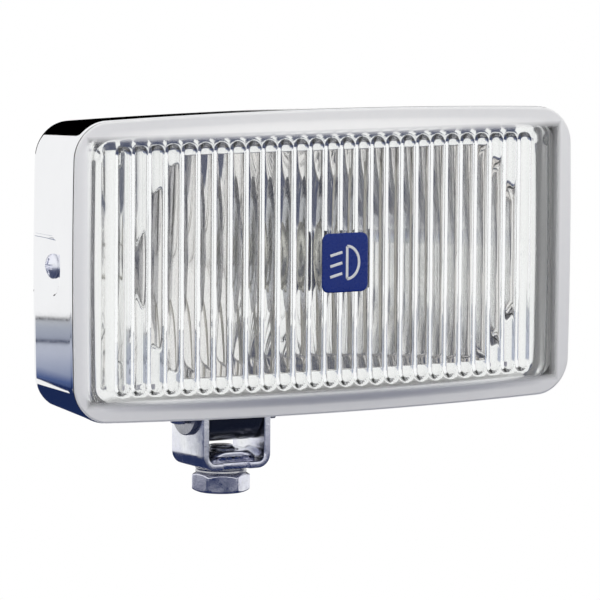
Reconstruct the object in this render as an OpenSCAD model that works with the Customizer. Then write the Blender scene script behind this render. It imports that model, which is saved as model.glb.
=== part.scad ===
// Rectangular fog lamp on an upright swivel and tilt bracket.
// The lens faces -Y, +X is to the right seen from the front, and +Z is up.
// The origin is where the mounting bolt's axis meets the underside of the bracket.

/* [Housing] */
// Width of the housing at its corners
body_w = 181.6; // [176:0.2:190]
// Height of the housing at its corners
body_h = 93.6; // [90:0.2:98]
// Depth of the straight side of the housing
side_depth = 29; // [26:0.5:32]
// Corner radius of the housing's front outline
corner_r = 11.5; // [9:0.5:14]
// How far the long sides bow outwards at their middle
bow_long = 1.9; // [0:0.1:3]
// How far the short sides bow outwards at their middle
bow_short = 0.7; // [0:0.1:1.5]
// Sheet thickness of the housing
wall = 1.4; // [1.2:0.1:1.6]
// Depth from the front outline to the back of the rear bulge
bulge_depth = 84; // [82:0.5:86]
// Half the height of the rear bulge
bulge_half_h = 38.2; // [37:0.1:39]

/* [Lens] */
// Number of upright flutes
flute_count = 27; // [25:2:27]
// Distance between flutes
flute_pitch = 5.65; // [5:0.01:5.7]
// Depth of the flutes
flute_depth = 2.6; // [1:0.1:2.7]
// Radius of the front of the lens, seen from above
lens_curve_r = 1150; // [900:10:1600]
// How far the middle of the lens stands in front of the housing
lens_rise = 4.9; // [4:0.1:5.5]
// Thickness of the lens between the flutes
glass_t = 3; // [2.5:0.1:3.5]
// Distance of the badge to the right of the lens's middle
badge_x = 3.6; // [0:0.1:8]

/* [Reflector and bulb] */
// Focal length of the reflector
focal = 26; // [25:0.5:27]
// Radius of the bulb glass
bulb_r = 5.2; // [4.8:0.1:5.4]
// Length of the bulb glass in front of its flange
bulb_len = 22; // [20:0.5:24]

/* [Bracket] */
// Outer width of the bracket
yoke_w = 25.5; // [25:0.1:27]
// Depth of the bracket, front to back
yoke_d = 22; // [20:0.5:23]
// Sheet thickness of the bracket
yoke_t = 2.4; // [2.2:0.1:2.6]
// Height of the tilt axis above the underside of the bracket
tilt_z = 20; // [19.5:0.1:21]
// Height of the lamp's centre above the underside of the bracket
lamp_z = 74.2; // [73:0.1:76]
// Distance from the bracket's axis forward to the lamp's front outline
lamp_front = 69; // [67:0.5:71]

/* [Fasteners] */
// Radius of the tilt bolt's shank, M6
tilt_bolt_r = 3; // [3:1:3]
// Radius of the mounting bolt's shank, M10
mount_bolt_r = 5; // [5:1:5]
// Distance across the flats of the mounting bolt's head
mount_head_af = 17; // [16:1:17]
// Thickness of the mounting bolt's head
mount_head_t = 6.4; // [6:0.1:7]
// Thickness of the lock washer
lock_washer_t = 2.1; // [1.8:0.1:2.4]
// Radial clearance of a turning fit
run_gap = 0.05; // [0.02:0.01:0.09]
// Radius of the cable hole in the grommet
cable_r = 3; // [2.5:0.25:3.5]

/* [Hidden] */

chrome = [0.86, 0.87, 0.9];
zinc = [0.76, 0.78, 0.82];
steel = [0.6, 0.61, 0.63];
black = [0.05, 0.05, 0.055];

$fn = 48;
arc_steps = 8;
side_steps = 8;
front_y = -lamp_front;

// Depths behind the front outline, used by several pieces
lens_back = 4;
gasket_back = 5;
flange_back = 6.2;
vertex_depth = flange_back + 52;
holder_floor = vertex_depth - 8;
back_wall_depth = side_depth + 3;
back_y = front_y + bulge_depth;

// Side screws, on the middle of the short sides
side_screw_depth = 14.5;
side_screw_z = 1.2;
side_screw_r = 2;
recess_len = 20;
recess_h = 18.4;
recess_floor_x = body_w / 2 - 0.65;
tab_x = body_w / 2 - 5.6;
tab_t = 1.2;

// Openings in the back of the housing
grommet_x = 28;
grommet_z = lamp_z - 16;
grommet_neck_r = 6;
breather_x = -30;
breather_r = 3;

// Foot under the rear bulge
foot_top_z = lamp_z - bulge_half_h;
foot_plate_t = 2.6;
foot_w = 20.4;
foot_nose_r = 11.5;
foot_screw_x = 14;
foot_screw_r = 2.5;

// Bulb clip, hinged on the left of the bulb
clip_wire_r = 0.6;
clip_x = -13;
clip_y = front_y + holder_floor + 1 + clip_wire_r + 0.1;
clip_leg_z = 6.3;
clip_len = 24.6;

// Terminals on the floor of the bulge
lead_r = 1.2;
lead_drop = 25.8;
terminal_x = -27.5;
terminal_top_z = lamp_z - lead_drop;
terminal_screw_x = [terminal_x - 3, terminal_x + 3];
terminal_screw_y = 4;
terminal_screw_r = 1.5;
terminal_screw_len = 6;

// Bracket and its fasteners
yoke_bend_r = 4.6;
tilt_head_t = 4;
tilt_washer_t = 1.6;
tilt_nut_t = 5;
square_nut_t = 3.2;

// Outline of everything that fits inside the housing's edge
shell_inset = wall + 0.5;
inside_w = body_w - 2 * shell_inset;
inside_h = body_h - 2 * shell_inset;
inside_r = corner_r - shell_inset;
window_w = inside_w - 12;
window_h = inside_h - 3.6;

// Point i of corner q of a rectangle with round corners, counted from the upper right
function corner_point(w, h, r, q, i) =
    let (
        a = 90 * (q + i / arc_steps),
        sx = q == 0 || q == 3 ? 1 : -1,
        sz = q < 2 ? 1 : -1
    )
    [sx * (w / 2 - r) + r * cos(a), sz * (h / 2 - r) + r * sin(a)];

// Outline of a rectangle with round corners, each straight side divided into steps
function outline(w, h, r, steps) = [
    for (q = [0:3]) each concat(
        [for (i = [0:arc_steps]) corner_point(w, h, r, q, i)],
        [for (j = [1:1:steps - 1])
            let (t = j / steps)
            (1 - t) * corner_point(w, h, r, q, arc_steps) + t * corner_point(w, h, r, (q + 1) % 4, 0)]
    )
];

// Straight-sided outline as 3-D points at a depth behind the front
function flat_ring(depth, w, h, r) = [
    for (p = outline(w, h, r, 1)) [p.x, front_y + depth, lamp_z + p.y]
];

// Outline with its sides bowed outwards, as 3-D points at a depth behind the front
function ring(depth, w, h, r) = [
    for (p = outline(w, h, r, side_steps)) [
        p.x + sign(p.x) * bow_short * (1 - pow(2 * p.y / h, 2)),
        front_y + depth,
        lamp_z + p.y + sign(p.y) * bow_long * (1 - pow(2 * p.x / w, 2))
    ]
];

// Solid through a list of rings, from the front one to the rear one
module loft(rings) {
    n = len(rings[0]);
    polyhedron(
        points = [for (one = rings) each one],
        faces = concat(
            [[for (i = [n - 1:-1:0]) i]],
            [[for (i = [0:n - 1]) (len(rings) - 1) * n + i]],
            [for (k = [0:len(rings) - 2], i = [0:n - 1])
                let (a = k * n + i, b = k * n + (i + 1) % n)
                each [[a, b, a + n], [b, b + n, a + n]]]
        )
    );
}

// Tube of round section swept along a list of points
module tube_along(path, r, sides = 8) {
    last = len(path) - 1;
    function unit(v) = v / norm(v);
    function heading(k) = unit(path[min(k + 1, last)] - path[max(k - 1, 0)]);
    rings = [for (k = [0:last])
        let (
            t = heading(k),
            u = unit(cross(t, abs(t.x) > 0.9 ? [0, 0, 1] : [1, 0, 0])),
            v = cross(t, u)
        )
        [for (i = [0:sides - 1]) path[k] + r * (cos(360 * i / sides) * u + sin(360 * i / sides) * v)]];
    polyhedron(
        points = [for (one = rings) each one],
        faces = concat(
            [[for (i = [0:sides - 1]) i]],
            [[for (i = [sides - 1:-1:0]) last * sides + i]],
            [for (k = [0:last - 1], i = [0:sides - 1])
                let (a = k * sides + i, b = k * sides + (i + 1) % sides)
                each [[a, a + sides, b], [b, a + sides, b + sides]]]
        )
    );
}

// Places children on the lamp's axis at a depth, with their +Z pointing to the rear
module on_axis(depth, x = 0, z = 0) {
    translate([x, front_y + depth, lamp_z + z]) rotate([-90, 0, 0]) children();
}

// Places children with their +Z pointing along +X
module along_x(x, y, z) {
    translate([x, y, z]) rotate([0, 90, 0]) children();
}

// Flat washer between z = 0 and z = t
module washer(outer_r, inner_r, t) {
    difference() {
        cylinder(r = outer_r, h = t);
        translate([0, 0, -1]) cylinder(r = inner_r, h = t + 2);
    }
}

// Hexagon head or nut with both ends chamfered, between z = 0 and z = t
module hexagon(across_flats, t, chamfer = 0.5) {
    corner = across_flats / 2 / cos(30);
    intersection() {
        cylinder(r = corner, h = t, $fn = 6);
        rotate_extrude() polygon([
            [0, 0], [corner - 2 * chamfer, 0], [corner, chamfer],
            [corner, t - chamfer], [corner - 2 * chamfer, t], [0, t]
        ]);
    }
}

// The housing's shape, taken in by an inset; lead runs it out in front for cutting a hollow
module shell_solid(inset, lead) {
    t = side_depth;
    w = body_w - 2 * inset;
    h = body_h - 2 * inset;
    r = corner_r - inset;
    b = bulge_half_h - inset;
    loft([
        ring(-lead, w, h, r),
        ring(1, w, h, r),
        ring(t - 2.5, w - 1.6, h - 3.3, r - 1),
        ring(t - 0.6, w - 2.6, h - 4.4, r - 1),
        ring(t + 1 - inset, w - 6, h - 7.6, r - 1.5),
        ring(back_wall_depth - inset, w - 22, h - 13, r)
    ]);
    loft([
        flat_ring(t - 4, 114 - 2 * inset, 2 * b, 18),
        flat_ring(back_wall_depth + 12, 114 - 2 * inset, 2 * b, 18),
        flat_ring(bulge_depth - 6, 102 - 2 * inset, 2 * b, 16),
        flat_ring(bulge_depth - 1.8 - inset / 2, 98 - 2 * inset, 2 * b - 3, 15),
        flat_ring(bulge_depth - inset, 92 - 2 * inset, 2 * b - 9, 14)
    ]);
}

// Cutter for the shallow pressing round a side screw; side is -1 for the left
module side_recess(side) {
    depth = 3;
    y0 = front_y + side_depth - recess_len;
    z0 = lamp_z + side_screw_z - recess_h / 2;
    r = 5;
    translate([side > 0 ? recess_floor_x : -recess_floor_x - depth, 0, 0]) hull() {
        for (z = [z0 + r, z0 + recess_h - r]) along_x(0, y0 + r, z) cylinder(r = r, h = depth, $fn = 32);
        translate([0, front_y + side_depth + 4, z0]) cube([depth, 1, recess_h]);
    }
}

// Sheet behind the pressing, which keeps the side a full thickness there
module recess_backing(side) {
    margin = 0.5;
    translate([
        side > 0 ? recess_floor_x - wall : -recess_floor_x - 0.2,
        front_y + side_depth - recess_len - margin,
        lamp_z + side_screw_z - recess_h / 2 - margin
    ]) cube([wall + 0.2, recess_len - 4, recess_h + 2 * margin]);
}

module housing() {
    color(chrome) difference() {
        union() {
            difference() {
                shell_solid(0, 0);
                shell_solid(wall, 3);
            }
            for (side = [-1, 1]) recess_backing(side);
        }
        for (side = [-1, 1]) {
            side_recess(side);
            along_x(side * body_w / 2 - 6, front_y + side_screw_depth, lamp_z + side_screw_z)
                cylinder(r = side_screw_r + 0.2, h = 12);
        }
        on_axis(bulge_depth - 6, grommet_x, grommet_z - lamp_z) cylinder(r = grommet_neck_r, h = 12);
        on_axis(bulge_depth - 6, breather_x, -16) cylinder(r = breather_r, h = 12);
        for (side = [-1, 1])
            translate([side * foot_screw_x, 0, foot_top_z - 3])
                cylinder(r = foot_screw_r + 0.2, h = 8);
    }
}

// Depth of the lens's front face at a distance x from the middle
function crown(x) = -lens_rise + x * x / (2 * lens_curve_r);

// Depth of the fluted inner face at a distance x from the middle
function fluted(x) =
    let (
        flute = round(x / flute_pitch),
        in_range = abs(flute) <= (flute_count - 1) / 2,
        across = x - flute * flute_pitch,
        flute_r = (pow(flute_pitch / 2, 2) + pow(flute_depth, 2)) / (2 * flute_depth),
        height = sqrt(pow(flute_r, 2) - pow(across, 2)) - (flute_r - flute_depth)
    )
    crown(x) + glass_t + (in_range ? max(0, height) : 0);

// Everything behind a curve seen from above, as a prism through the lens's height
module behind(points, back) {
    first = points[0];
    last = points[len(points) - 1];
    translate([0, front_y, lamp_z - 60]) linear_extrude(height = 120)
        polygon(concat(points, [[last.x, back], [first.x, back]]));
}

module lens() {
    reach = 92;
    steps = 8;
    half_span = (flute_count + 3) / 2 * flute_pitch;
    last_step = steps * (flute_count + 3) / 2;
    inner_w = (flute_count + 2) * flute_pitch - 0.05;
    inner_h = window_h - 5;
    color([0.88, 0.92, 0.94, 0.4]) difference() {
        intersection() {
            loft([
                ring(-6, window_w - 3, window_h - 3, 7),
                ring(-1.4, window_w, window_h, 8),
                ring(0.6, inside_w, inside_h, inside_r),
                ring(lens_back, inside_w, inside_h, inside_r)
            ]);
            behind([for (k = [-16:16]) [k * reach / 16, crown(k * reach / 16)]], lens_back + 1);
        }
        intersection() {
            loft([ring(-8, inner_w, inner_h, 6), ring(lens_back + 2, inner_w, inner_h, 6)]);
            behind([for (k = [-last_step:last_step])
                let (x = k * half_span / last_step)
                [x, fluted(x)]], lens_back + 3);
        }
    }
}

module lens_gasket() {
    hole_w = window_w - 2;
    hole_h = window_h - 2;
    hole_r = 7;
    color(black) difference() {
        loft([
            ring(lens_back, inside_w, inside_h, inside_r),
            ring(gasket_back, inside_w, inside_h, inside_r)
        ]);
        loft([
            ring(lens_back - 1, hole_w, hole_h, hole_r),
            ring(gasket_back + 1, hole_w, hole_h, hole_r)
        ]);
    }
}

module lens_badge() {
    w = 16.8;
    h = 18.9;
    r = 2.5;
    color([0.02, 0.17, 0.5]) on_axis(-lens_rise - 0.6, badge_x, 0) linear_extrude(height = 0.5)
        union() {
            square([w - 2 * r, h], center = true);
            square([w, h - 2 * r], center = true);
            for (x = [-1, 1], y = [-1, 1])
                translate([x * (w / 2 - r), y * (h / 2 - r)]) circle(r = r);
        }
}

// Region in front of a paraboloid whose vertex is at a depth, cut off at the flange
module in_front_of_paraboloid(depth, front) {
    reach = depth - front;
    steps = 14;
    edge = sqrt(4 * focal * reach);
    on_axis(0) rotate_extrude($fn = 96) polygon(concat(
        [[0, front]],
        [for (k = [steps:-1:0]) let (r = edge * k / steps) [r, depth - r * r / (4 * focal)]]
    ));
}

module reflector() {
    cut_w = 162;
    cut_h = 2 * (bulge_half_h - wall) - 1;
    sheet = 1;
    color([0.92, 0.92, 0.93]) difference() {
        union() {
            intersection() {
                in_front_of_paraboloid(vertex_depth + sheet, gasket_back);
                loft([
                    flat_ring(gasket_back, cut_w, cut_h, 8),
                    flat_ring(vertex_depth + 4, cut_w, cut_h, 8)
                ]);
            }
            loft([
                ring(gasket_back, inside_w, inside_h, inside_r),
                ring(flange_back, inside_w, inside_h, inside_r)
            ]);
            for (side = [-1, 1])
                translate([side * tab_x - tab_t / 2, front_y + flange_back - 0.5, lamp_z + side_screw_z - 8])
                    cube([tab_t, 16, 16]);
        }
        intersection() {
            in_front_of_paraboloid(vertex_depth, gasket_back - 2);
            loft([
                flat_ring(gasket_back - 3, cut_w - 2 * sheet, cut_h - 2 * sheet, 7),
                flat_ring(vertex_depth + 4, cut_w - 2 * sheet, cut_h - 2 * sheet, 7)
            ]);
        }
        on_axis(vertex_depth - 8) cylinder(r = 17, h = 14);
        for (side = [-1, 1])
            along_x(side * tab_x - 3, front_y + side_screw_depth, lamp_z + side_screw_z)
                cylinder(r = side_screw_r + 0.2, h = 6);
    }
}

module bulb_holder() {
    rim_r = 22;
    rim_t = 1.2;
    cup_r = 16.9;
    floor_t = 2;
    rim_depth = vertex_depth + 1.8;
    color(steel) difference() {
        union() {
            on_axis(holder_floor - floor_t)
                cylinder(r = cup_r, h = rim_depth - holder_floor + floor_t + rim_t);
            on_axis(rim_depth) cylinder(r = rim_r, h = rim_t);
        }
        difference() {
            on_axis(holder_floor) cylinder(r = cup_r - 1.2, h = 20);
            translate([clip_x - 1.6, front_y + holder_floor - 1, lamp_z - 4.2]) cube([3.4, 3.6, 8.4]);
        }
        on_axis(holder_floor - 5) cylinder(r = bulb_r + 0.3, h = 10);
        translate([clip_x, clip_y, lamp_z - 8]) cylinder(r = clip_wire_r + run_gap, h = 16);
    }
}

module bulb_base() {
    color([0.75, 0.72, 0.62]) difference() {
        union() {
            on_axis(holder_floor) cylinder(r = 9.5, h = 0.9);
            on_axis(holder_floor) cylinder(r = 4.9, h = 8);
            on_axis(holder_floor + 8) cylinder(r = 3.2, h = 2);
        }
        on_axis(holder_floor - 1) cylinder(r = 3.4, h = 4);
    }
}

// Half of a round-ended tube's section, closed at the tip
module bulb_section(r, length) {
    difference() {
        union() {
            square([r, length - r]);
            translate([0, length - r]) circle(r = r);
        }
        translate([-r - 1, -1]) square([r + 1, length + 2]);
        translate([-1, length]) square([r + 2, 2]);
    }
}

module bulb_glass() {
    skin = 0.8;
    color([0.95, 0.96, 0.97, 0.35]) on_axis(holder_floor) rotate([180, 0, 0]) rotate_extrude()
        difference() {
            bulb_section(bulb_r, bulb_len);
            translate([0, -1]) bulb_section(bulb_r - skin, bulb_len - skin + 1);
        }
}

module bulb_filament() {
    coil_len = 5;
    coil_depth = vertex_depth - focal;
    post = holder_floor + 2.5 - coil_depth;
    color([0.55, 0.52, 0.48]) union() {
        on_axis(coil_depth) translate([-coil_len / 2, 0, 0]) rotate([0, 90, 0])
            cylinder(r = 0.7, h = coil_len);
        for (side = [-1, 1])
            on_axis(coil_depth, side * (coil_len / 2 - 0.4)) cylinder(r = 0.3, h = post, $fn = 16);
        on_axis(holder_floor + 1.5) cylinder(r = 3.2, h = 1.2);
    }
}

module bulb_shield() {
    cap_r = 11;
    cap_depth = vertex_depth - focal - 9.5;
    leg_z = -cap_r;
    color([0.8, 0.81, 0.83]) union() {
        on_axis(cap_depth) rotate_extrude() polygon([
            [0, 0], [6, 0.6], [cap_r - 2, 2.2], [cap_r, 4.4],
            [cap_r - 1, 4.4], [cap_r - 2.8, 3.1], [6, 1.7], [0, 1]
        ]);
        translate([-3, front_y + cap_depth + 3.4, lamp_z + leg_z - 0.2])
            cube([6, holder_floor - 2 - cap_depth - 3.4, 1]);
        translate([-3, front_y + holder_floor - 3, lamp_z + leg_z - 3]) cube([6, 1, 3.4]);
    }
}

module bulb_clip() {
    x1 = clip_x + clip_len;
    color(steel) union() {
        translate([clip_x, clip_y, lamp_z - clip_leg_z - clip_wire_r])
            cylinder(r = clip_wire_r, h = 2 * (clip_leg_z + clip_wire_r));
        translate([x1, clip_y, lamp_z - clip_leg_z - clip_wire_r])
            cylinder(r = clip_wire_r, h = 2 * (clip_leg_z + clip_wire_r));
        for (side = [-1, 1])
            along_x(clip_x, clip_y, lamp_z + side * clip_leg_z) cylinder(r = clip_wire_r - 0.1, h = clip_len);
    }
}

// The lead bends round behind the clip's hinge, clear of the clip's swing, and down to the terminals
lead_path = [
    [0, 0, 0], [0, 1, 0], [-1.5, 3.5, 0], [-4, 6.2, 0], [-7.5, 8.5, 0], [-11.5, 10.4, -1],
    [-16, 11.6, -3], [-20.5, 11.8, -6.5], [-24.5, 11.4, -11], [-27.5, 10.6, -16],
    [-29.2, 9.8, -20.5], [-29.8, 9.4, -24.3], [-29.8, 9.4, -lead_drop]
];

module bulb_lead() {
    start = [0, front_y + holder_floor + 10, lamp_z];
    color([0.75, 0.08, 0.06]) tube_along([for (p = lead_path) p + start], lead_r);
}

module terminal_block() {
    w = 12;
    d = 13;
    bottom = foot_top_z + wall;
    color([0.9, 0.88, 0.8]) difference() {
        translate([terminal_x - w / 2, -d / 2, bottom]) cube([w, d, terminal_top_z - bottom]);
        for (x = terminal_screw_x)
            translate([x, terminal_screw_y, terminal_top_z - terminal_screw_len])
                cylinder(r = terminal_screw_r + 0.1, h = 2 * terminal_screw_len);
    }
}

module terminal_screws() {
    slot_w = 0.6;
    h = terminal_screw_len - 0.4;
    color([0.8, 0.68, 0.35]) for (x = terminal_screw_x)
        translate([x, terminal_screw_y, terminal_top_z - terminal_screw_len]) difference() {
            cylinder(r = terminal_screw_r, h = h);
            translate([-2, -slot_w / 2, h - 0.8]) cube([4, slot_w, 2]);
        }
}

// Pan-head screw with a cross recess, its head outside the housing's side
module side_screw(side) {
    head_t = 2.4;
    head_r = 3.9;
    color(zinc) translate([side * recess_floor_x, front_y + side_screw_depth, lamp_z + side_screw_z])
        rotate([0, side * 90, 0]) difference() {
            union() {
                rotate_extrude() polygon([
                    [0, 0], [head_r, 0], [head_r, 1.1], [head_r - 0.5, 1.8],
                    [head_r - 1.6, 2.25], [0, head_t]
                ]);
                translate([0, 0, -9]) cylinder(r = side_screw_r, h = 9.5);
            }
            for (turn = [0, 90])
                rotate([0, 0, turn]) translate([-2.1, -0.45, 1.1]) cube([4.2, 0.9, 2]);
        }
}

module side_screw_left() {
    side_screw(-1);
}

module side_screw_right() {
    side_screw(1);
}

// Spring nut on the reflector's tab, behind a side screw
module side_clip(side) {
    inner = tab_x - tab_t / 2;
    clip_t = 2.6;
    clip_w = 10;
    color(steel) difference() {
        translate([
            side > 0 ? inner - clip_t : -inner,
            front_y + side_screw_depth - clip_w / 2,
            lamp_z + side_screw_z - clip_w / 2
        ]) cube([clip_t, clip_w, clip_w]);
        along_x(side * inner - 5, front_y + side_screw_depth, lamp_z + side_screw_z)
            cylinder(r = side_screw_r + 0.02, h = 10);
    }
}

module side_clip_left() {
    side_clip(-1);
}

module side_clip_right() {
    side_clip(1);
}

module cable_grommet() {
    color(black) on_axis(0, grommet_x, grommet_z - lamp_z) rotate_extrude() polygon([
        [cable_r, bulge_depth - wall - 2], [grommet_neck_r + 1.6, bulge_depth - wall - 2],
        [grommet_neck_r + 1.6, bulge_depth - wall], [grommet_neck_r, bulge_depth - wall],
        [grommet_neck_r, bulge_depth], [grommet_neck_r + 2, bulge_depth],
        [grommet_neck_r + 2, bulge_depth + 2], [cable_r + 1.6, bulge_depth + 4], [cable_r, bulge_depth + 4]
    ]);
}

module breather_plug() {
    color(black) on_axis(0, breather_x, -16) rotate_extrude() polygon([
        [0, bulge_depth - wall - 2.5], [breather_r + 0.8, bulge_depth - wall - 1],
        [breather_r + 0.8, bulge_depth - wall], [breather_r, bulge_depth - wall],
        [breather_r, bulge_depth], [breather_r + 2, bulge_depth], [breather_r + 2, bulge_depth + 1.2],
        [breather_r, bulge_depth + 2], [0, bulge_depth + 2]
    ]);
}

module mounting_foot() {
    plate_w = 38;
    plate_d = 24;
    plate_z = foot_top_z - foot_plate_t;
    color(black) difference() {
        union() {
            translate([-plate_w / 2, -plate_d / 2, plate_z]) cube([plate_w, plate_d, foot_plate_t]);
            translate([-foot_w / 2, -foot_nose_r, tilt_z])
                cube([foot_w, 2 * foot_nose_r, plate_z - tilt_z + 1]);
            along_x(-foot_w / 2, 0, tilt_z) cylinder(r = foot_nose_r, h = foot_w);
        }
        along_x(-foot_w, 0, tilt_z) cylinder(r = tilt_bolt_r + run_gap, h = 2 * foot_w);
        for (side = [-1, 1])
            translate([side * foot_screw_x, 0, plate_z - 1]) cylinder(r = foot_screw_r + 0.02, h = 8);
    }
}

module foot_plate() {
    z = foot_top_z + wall;
    w = 38;
    front = 10;
    back = 8;
    color(zinc) difference() {
        translate([-w / 2, -front, z]) cube([w, front + back, 2]);
        for (side = [-1, 1])
            translate([side * foot_screw_x, 0, z - 1]) cylinder(r = foot_screw_r + 0.2, h = 4);
    }
}

module foot_screws() {
    z = foot_top_z + wall + 2;
    color(zinc) for (side = [-1, 1])
        translate([side * foot_screw_x, 0, 0]) union() {
            translate([0, 0, z]) hexagon(8, 3.5, 0.4);
            translate([0, 0, foot_top_z - foot_plate_t])
                cylinder(r = foot_screw_r, h = wall + foot_plate_t + 2.5);
        }
}

// Section of the bracket seen from the front
module yoke_section() {
    difference() {
        union() {
            translate([-yoke_w / 2, yoke_bend_r]) square([yoke_w, 40]);
            translate([-yoke_w / 2 + yoke_bend_r, 0]) square([yoke_w - 2 * yoke_bend_r, 10]);
            for (side = [-1, 1])
                translate([side * (yoke_w / 2 - yoke_bend_r), yoke_bend_r]) circle(r = yoke_bend_r);
        }
        translate([-yoke_w / 2 + yoke_t, yoke_bend_r]) square([yoke_w - 2 * yoke_t, 50]);
        translate([-yoke_w / 2 + yoke_bend_r, yoke_t]) square([yoke_w - 2 * yoke_bend_r, 10]);
        for (side = [-1, 1])
            translate([side * (yoke_w / 2 - yoke_bend_r), yoke_bend_r]) circle(r = yoke_bend_r - yoke_t);
    }
}

module bracket() {
    notch_w = 10;
    notch_d = 1.4;
    color(zinc) difference() {
        intersection() {
            translate([0, yoke_d / 2, 0]) rotate([90, 0, 0]) linear_extrude(height = yoke_d) yoke_section();
            union() {
                translate([-yoke_w, -yoke_d / 2, -1]) cube([2 * yoke_w, yoke_d, tilt_z + 1]);
                along_x(-yoke_w, 0, tilt_z) cylinder(r = yoke_d / 2, h = 2 * yoke_w);
            }
        }
        along_x(-yoke_w, 0, tilt_z) cylinder(r = tilt_bolt_r + 0.2, h = 2 * yoke_w);
        translate([0, 0, -1]) cylinder(r = mount_bolt_r + 0.25, h = 10);
        translate([-notch_w / 2, -yoke_d / 2 - 1, -1]) cube([notch_w, notch_d + 1, 5]);
    }
}

module tilt_bolt() {
    head_x = -yoke_w / 2 - tilt_washer_t - tilt_head_t;
    tail_x = yoke_w / 2 + tilt_washer_t + tilt_nut_t + 1.6;
    color(zinc) union() {
        along_x(head_x, 0, tilt_z) hexagon(10, tilt_head_t);
        along_x(head_x + 1, 0, tilt_z) cylinder(r = tilt_bolt_r, h = tail_x - head_x - 2);
        along_x(tail_x - 1.2, 0, tilt_z) cylinder(r1 = tilt_bolt_r, r2 = tilt_bolt_r - 0.8, h = 1);
    }
}

module tilt_washer() {
    color(zinc) along_x(-yoke_w / 2 - tilt_washer_t, 0, tilt_z)
        washer(9, tilt_bolt_r + 0.2, tilt_washer_t);
}

module tilt_lock_washer() {
    color(steel) difference() {
        along_x(yoke_w / 2, 0, tilt_z) washer(5.9, tilt_bolt_r + 0.1, tilt_washer_t);
        translate([yoke_w / 2 - 1, 0, tilt_z - 0.4]) cube([4, 8, 0.8]);
    }
}

module tilt_nut() {
    color(steel) difference() {
        along_x(yoke_w / 2 + tilt_washer_t, 0, tilt_z) hexagon(10, tilt_nut_t);
        along_x(0, 0, tilt_z) cylinder(r = tilt_bolt_r + 0.02, h = 40);
    }
}

module square_nut() {
    af = 17;
    color(zinc) difference() {
        intersection() {
            translate([-af / 2, -af / 2, yoke_t]) cube([af, af, square_nut_t]);
            translate([0, 0, yoke_t]) rotate_extrude() polygon([
                [0, 0], [af / 2 * 1.36, 0], [af / 2 * 1.36, square_nut_t - 1.6],
                [af / 2 * 1.05, square_nut_t], [0, square_nut_t]
            ]);
        }
        translate([0, 0, -1]) cylinder(r = mount_bolt_r + run_gap, h = 20);
    }
}

module mounting_bolt() {
    tip_z = yoke_t + square_nut_t + 1.4;
    color(zinc) union() {
        translate([0, 0, -lock_washer_t - mount_head_t]) rotate([0, 0, -25])
            hexagon(mount_head_af, mount_head_t, 0.7);
        translate([0, 0, -lock_washer_t - 1]) cylinder(r = mount_bolt_r, h = tip_z + lock_washer_t);
        translate([0, 0, tip_z - 1]) cylinder(r1 = mount_bolt_r, r2 = mount_bolt_r - 1, h = 1);
    }
}

module lock_washer() {
    color(steel) difference() {
        translate([0, 0, -lock_washer_t]) washer(8.6, mount_bolt_r + 0.15, lock_washer_t);
        translate([4, -0.6, -lock_washer_t - 1]) cube([6, 1.2, lock_washer_t + 2]);
    }
}

housing();
lens();
lens_gasket();
lens_badge();
reflector();
bulb_holder();
bulb_base();
bulb_glass();
bulb_filament();
bulb_shield();
bulb_clip();
bulb_lead();
terminal_block();
terminal_screws();
side_screw_left();
side_screw_right();
side_clip_left();
side_clip_right();
cable_grommet();
breather_plug();
mounting_foot();
foot_plate();
foot_screws();
bracket();
tilt_bolt();
tilt_washer();
tilt_lock_washer();
tilt_nut();
square_nut();
mounting_bolt();
lock_washer();
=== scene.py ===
"""Rectangular fog lamp on a swivel and tilt bracket: chromed case, fluted glass lens, mirror and bulb.

The lens faces -Y, +X is to the right seen from the front, +Z is up, and lengths are in metres.
The origin is where the mounting bolt's axis meets the underside of the bracket.
"""

import math

import bpy
import numpy as np
from bpy.props import FloatProperty, FloatVectorProperty, IntProperty, PointerProperty
from mathutils import Matrix, Vector


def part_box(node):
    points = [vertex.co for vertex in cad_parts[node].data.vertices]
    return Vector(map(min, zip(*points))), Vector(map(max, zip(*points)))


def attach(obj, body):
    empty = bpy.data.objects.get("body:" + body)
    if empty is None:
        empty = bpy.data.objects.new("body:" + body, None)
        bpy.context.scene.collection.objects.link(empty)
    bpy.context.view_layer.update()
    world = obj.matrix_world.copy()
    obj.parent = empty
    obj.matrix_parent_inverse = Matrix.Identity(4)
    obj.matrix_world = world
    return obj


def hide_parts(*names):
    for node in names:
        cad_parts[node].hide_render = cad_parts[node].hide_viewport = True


bl_info = {
    "name": "Rectangular Fog Lamp",
    "version": (1, 0, 0),
    "blender": (4, 5, 0),
    "location": "3D View > Sidebar > Fog Lamp",
    "description": "Builds a chromed fog lamp with a fluted lens on a swivel bracket",
    "category": "Add Mesh",
}

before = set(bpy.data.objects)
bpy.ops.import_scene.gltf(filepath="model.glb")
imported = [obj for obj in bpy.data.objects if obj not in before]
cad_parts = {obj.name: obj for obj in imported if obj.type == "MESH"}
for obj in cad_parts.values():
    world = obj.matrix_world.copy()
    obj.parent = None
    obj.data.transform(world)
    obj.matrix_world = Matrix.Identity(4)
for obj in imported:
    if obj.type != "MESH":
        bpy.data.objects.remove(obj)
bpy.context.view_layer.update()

MM = 0.001

# Places read from the frame
CASE_LO, CASE_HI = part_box("housing")
YOKE_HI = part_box("bracket")[1]
NOSE_LO, NOSE_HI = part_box("mounting_foot")
HEAD_LO, HEAD_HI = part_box("mounting_bolt")
LAMP_Z = (CASE_LO.z + CASE_HI.z) / 2
FRONT_Y = CASE_LO.y
TILT_Z = sum(corner.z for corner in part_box("tilt_washer")) / 2


# ---------------------------------------------------------------- settings

def length(name, text, value, low=0.0):
    """A length property, in metres."""
    return FloatProperty(name=name, description=text, default=value, min=low, unit="LENGTH", precision=5)


def colour(name, text, value):
    """A colour property."""
    return FloatVectorProperty(
        name=name, description=text, default=value, size=3, min=0, max=1, subtype="COLOR"
    )


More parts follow.
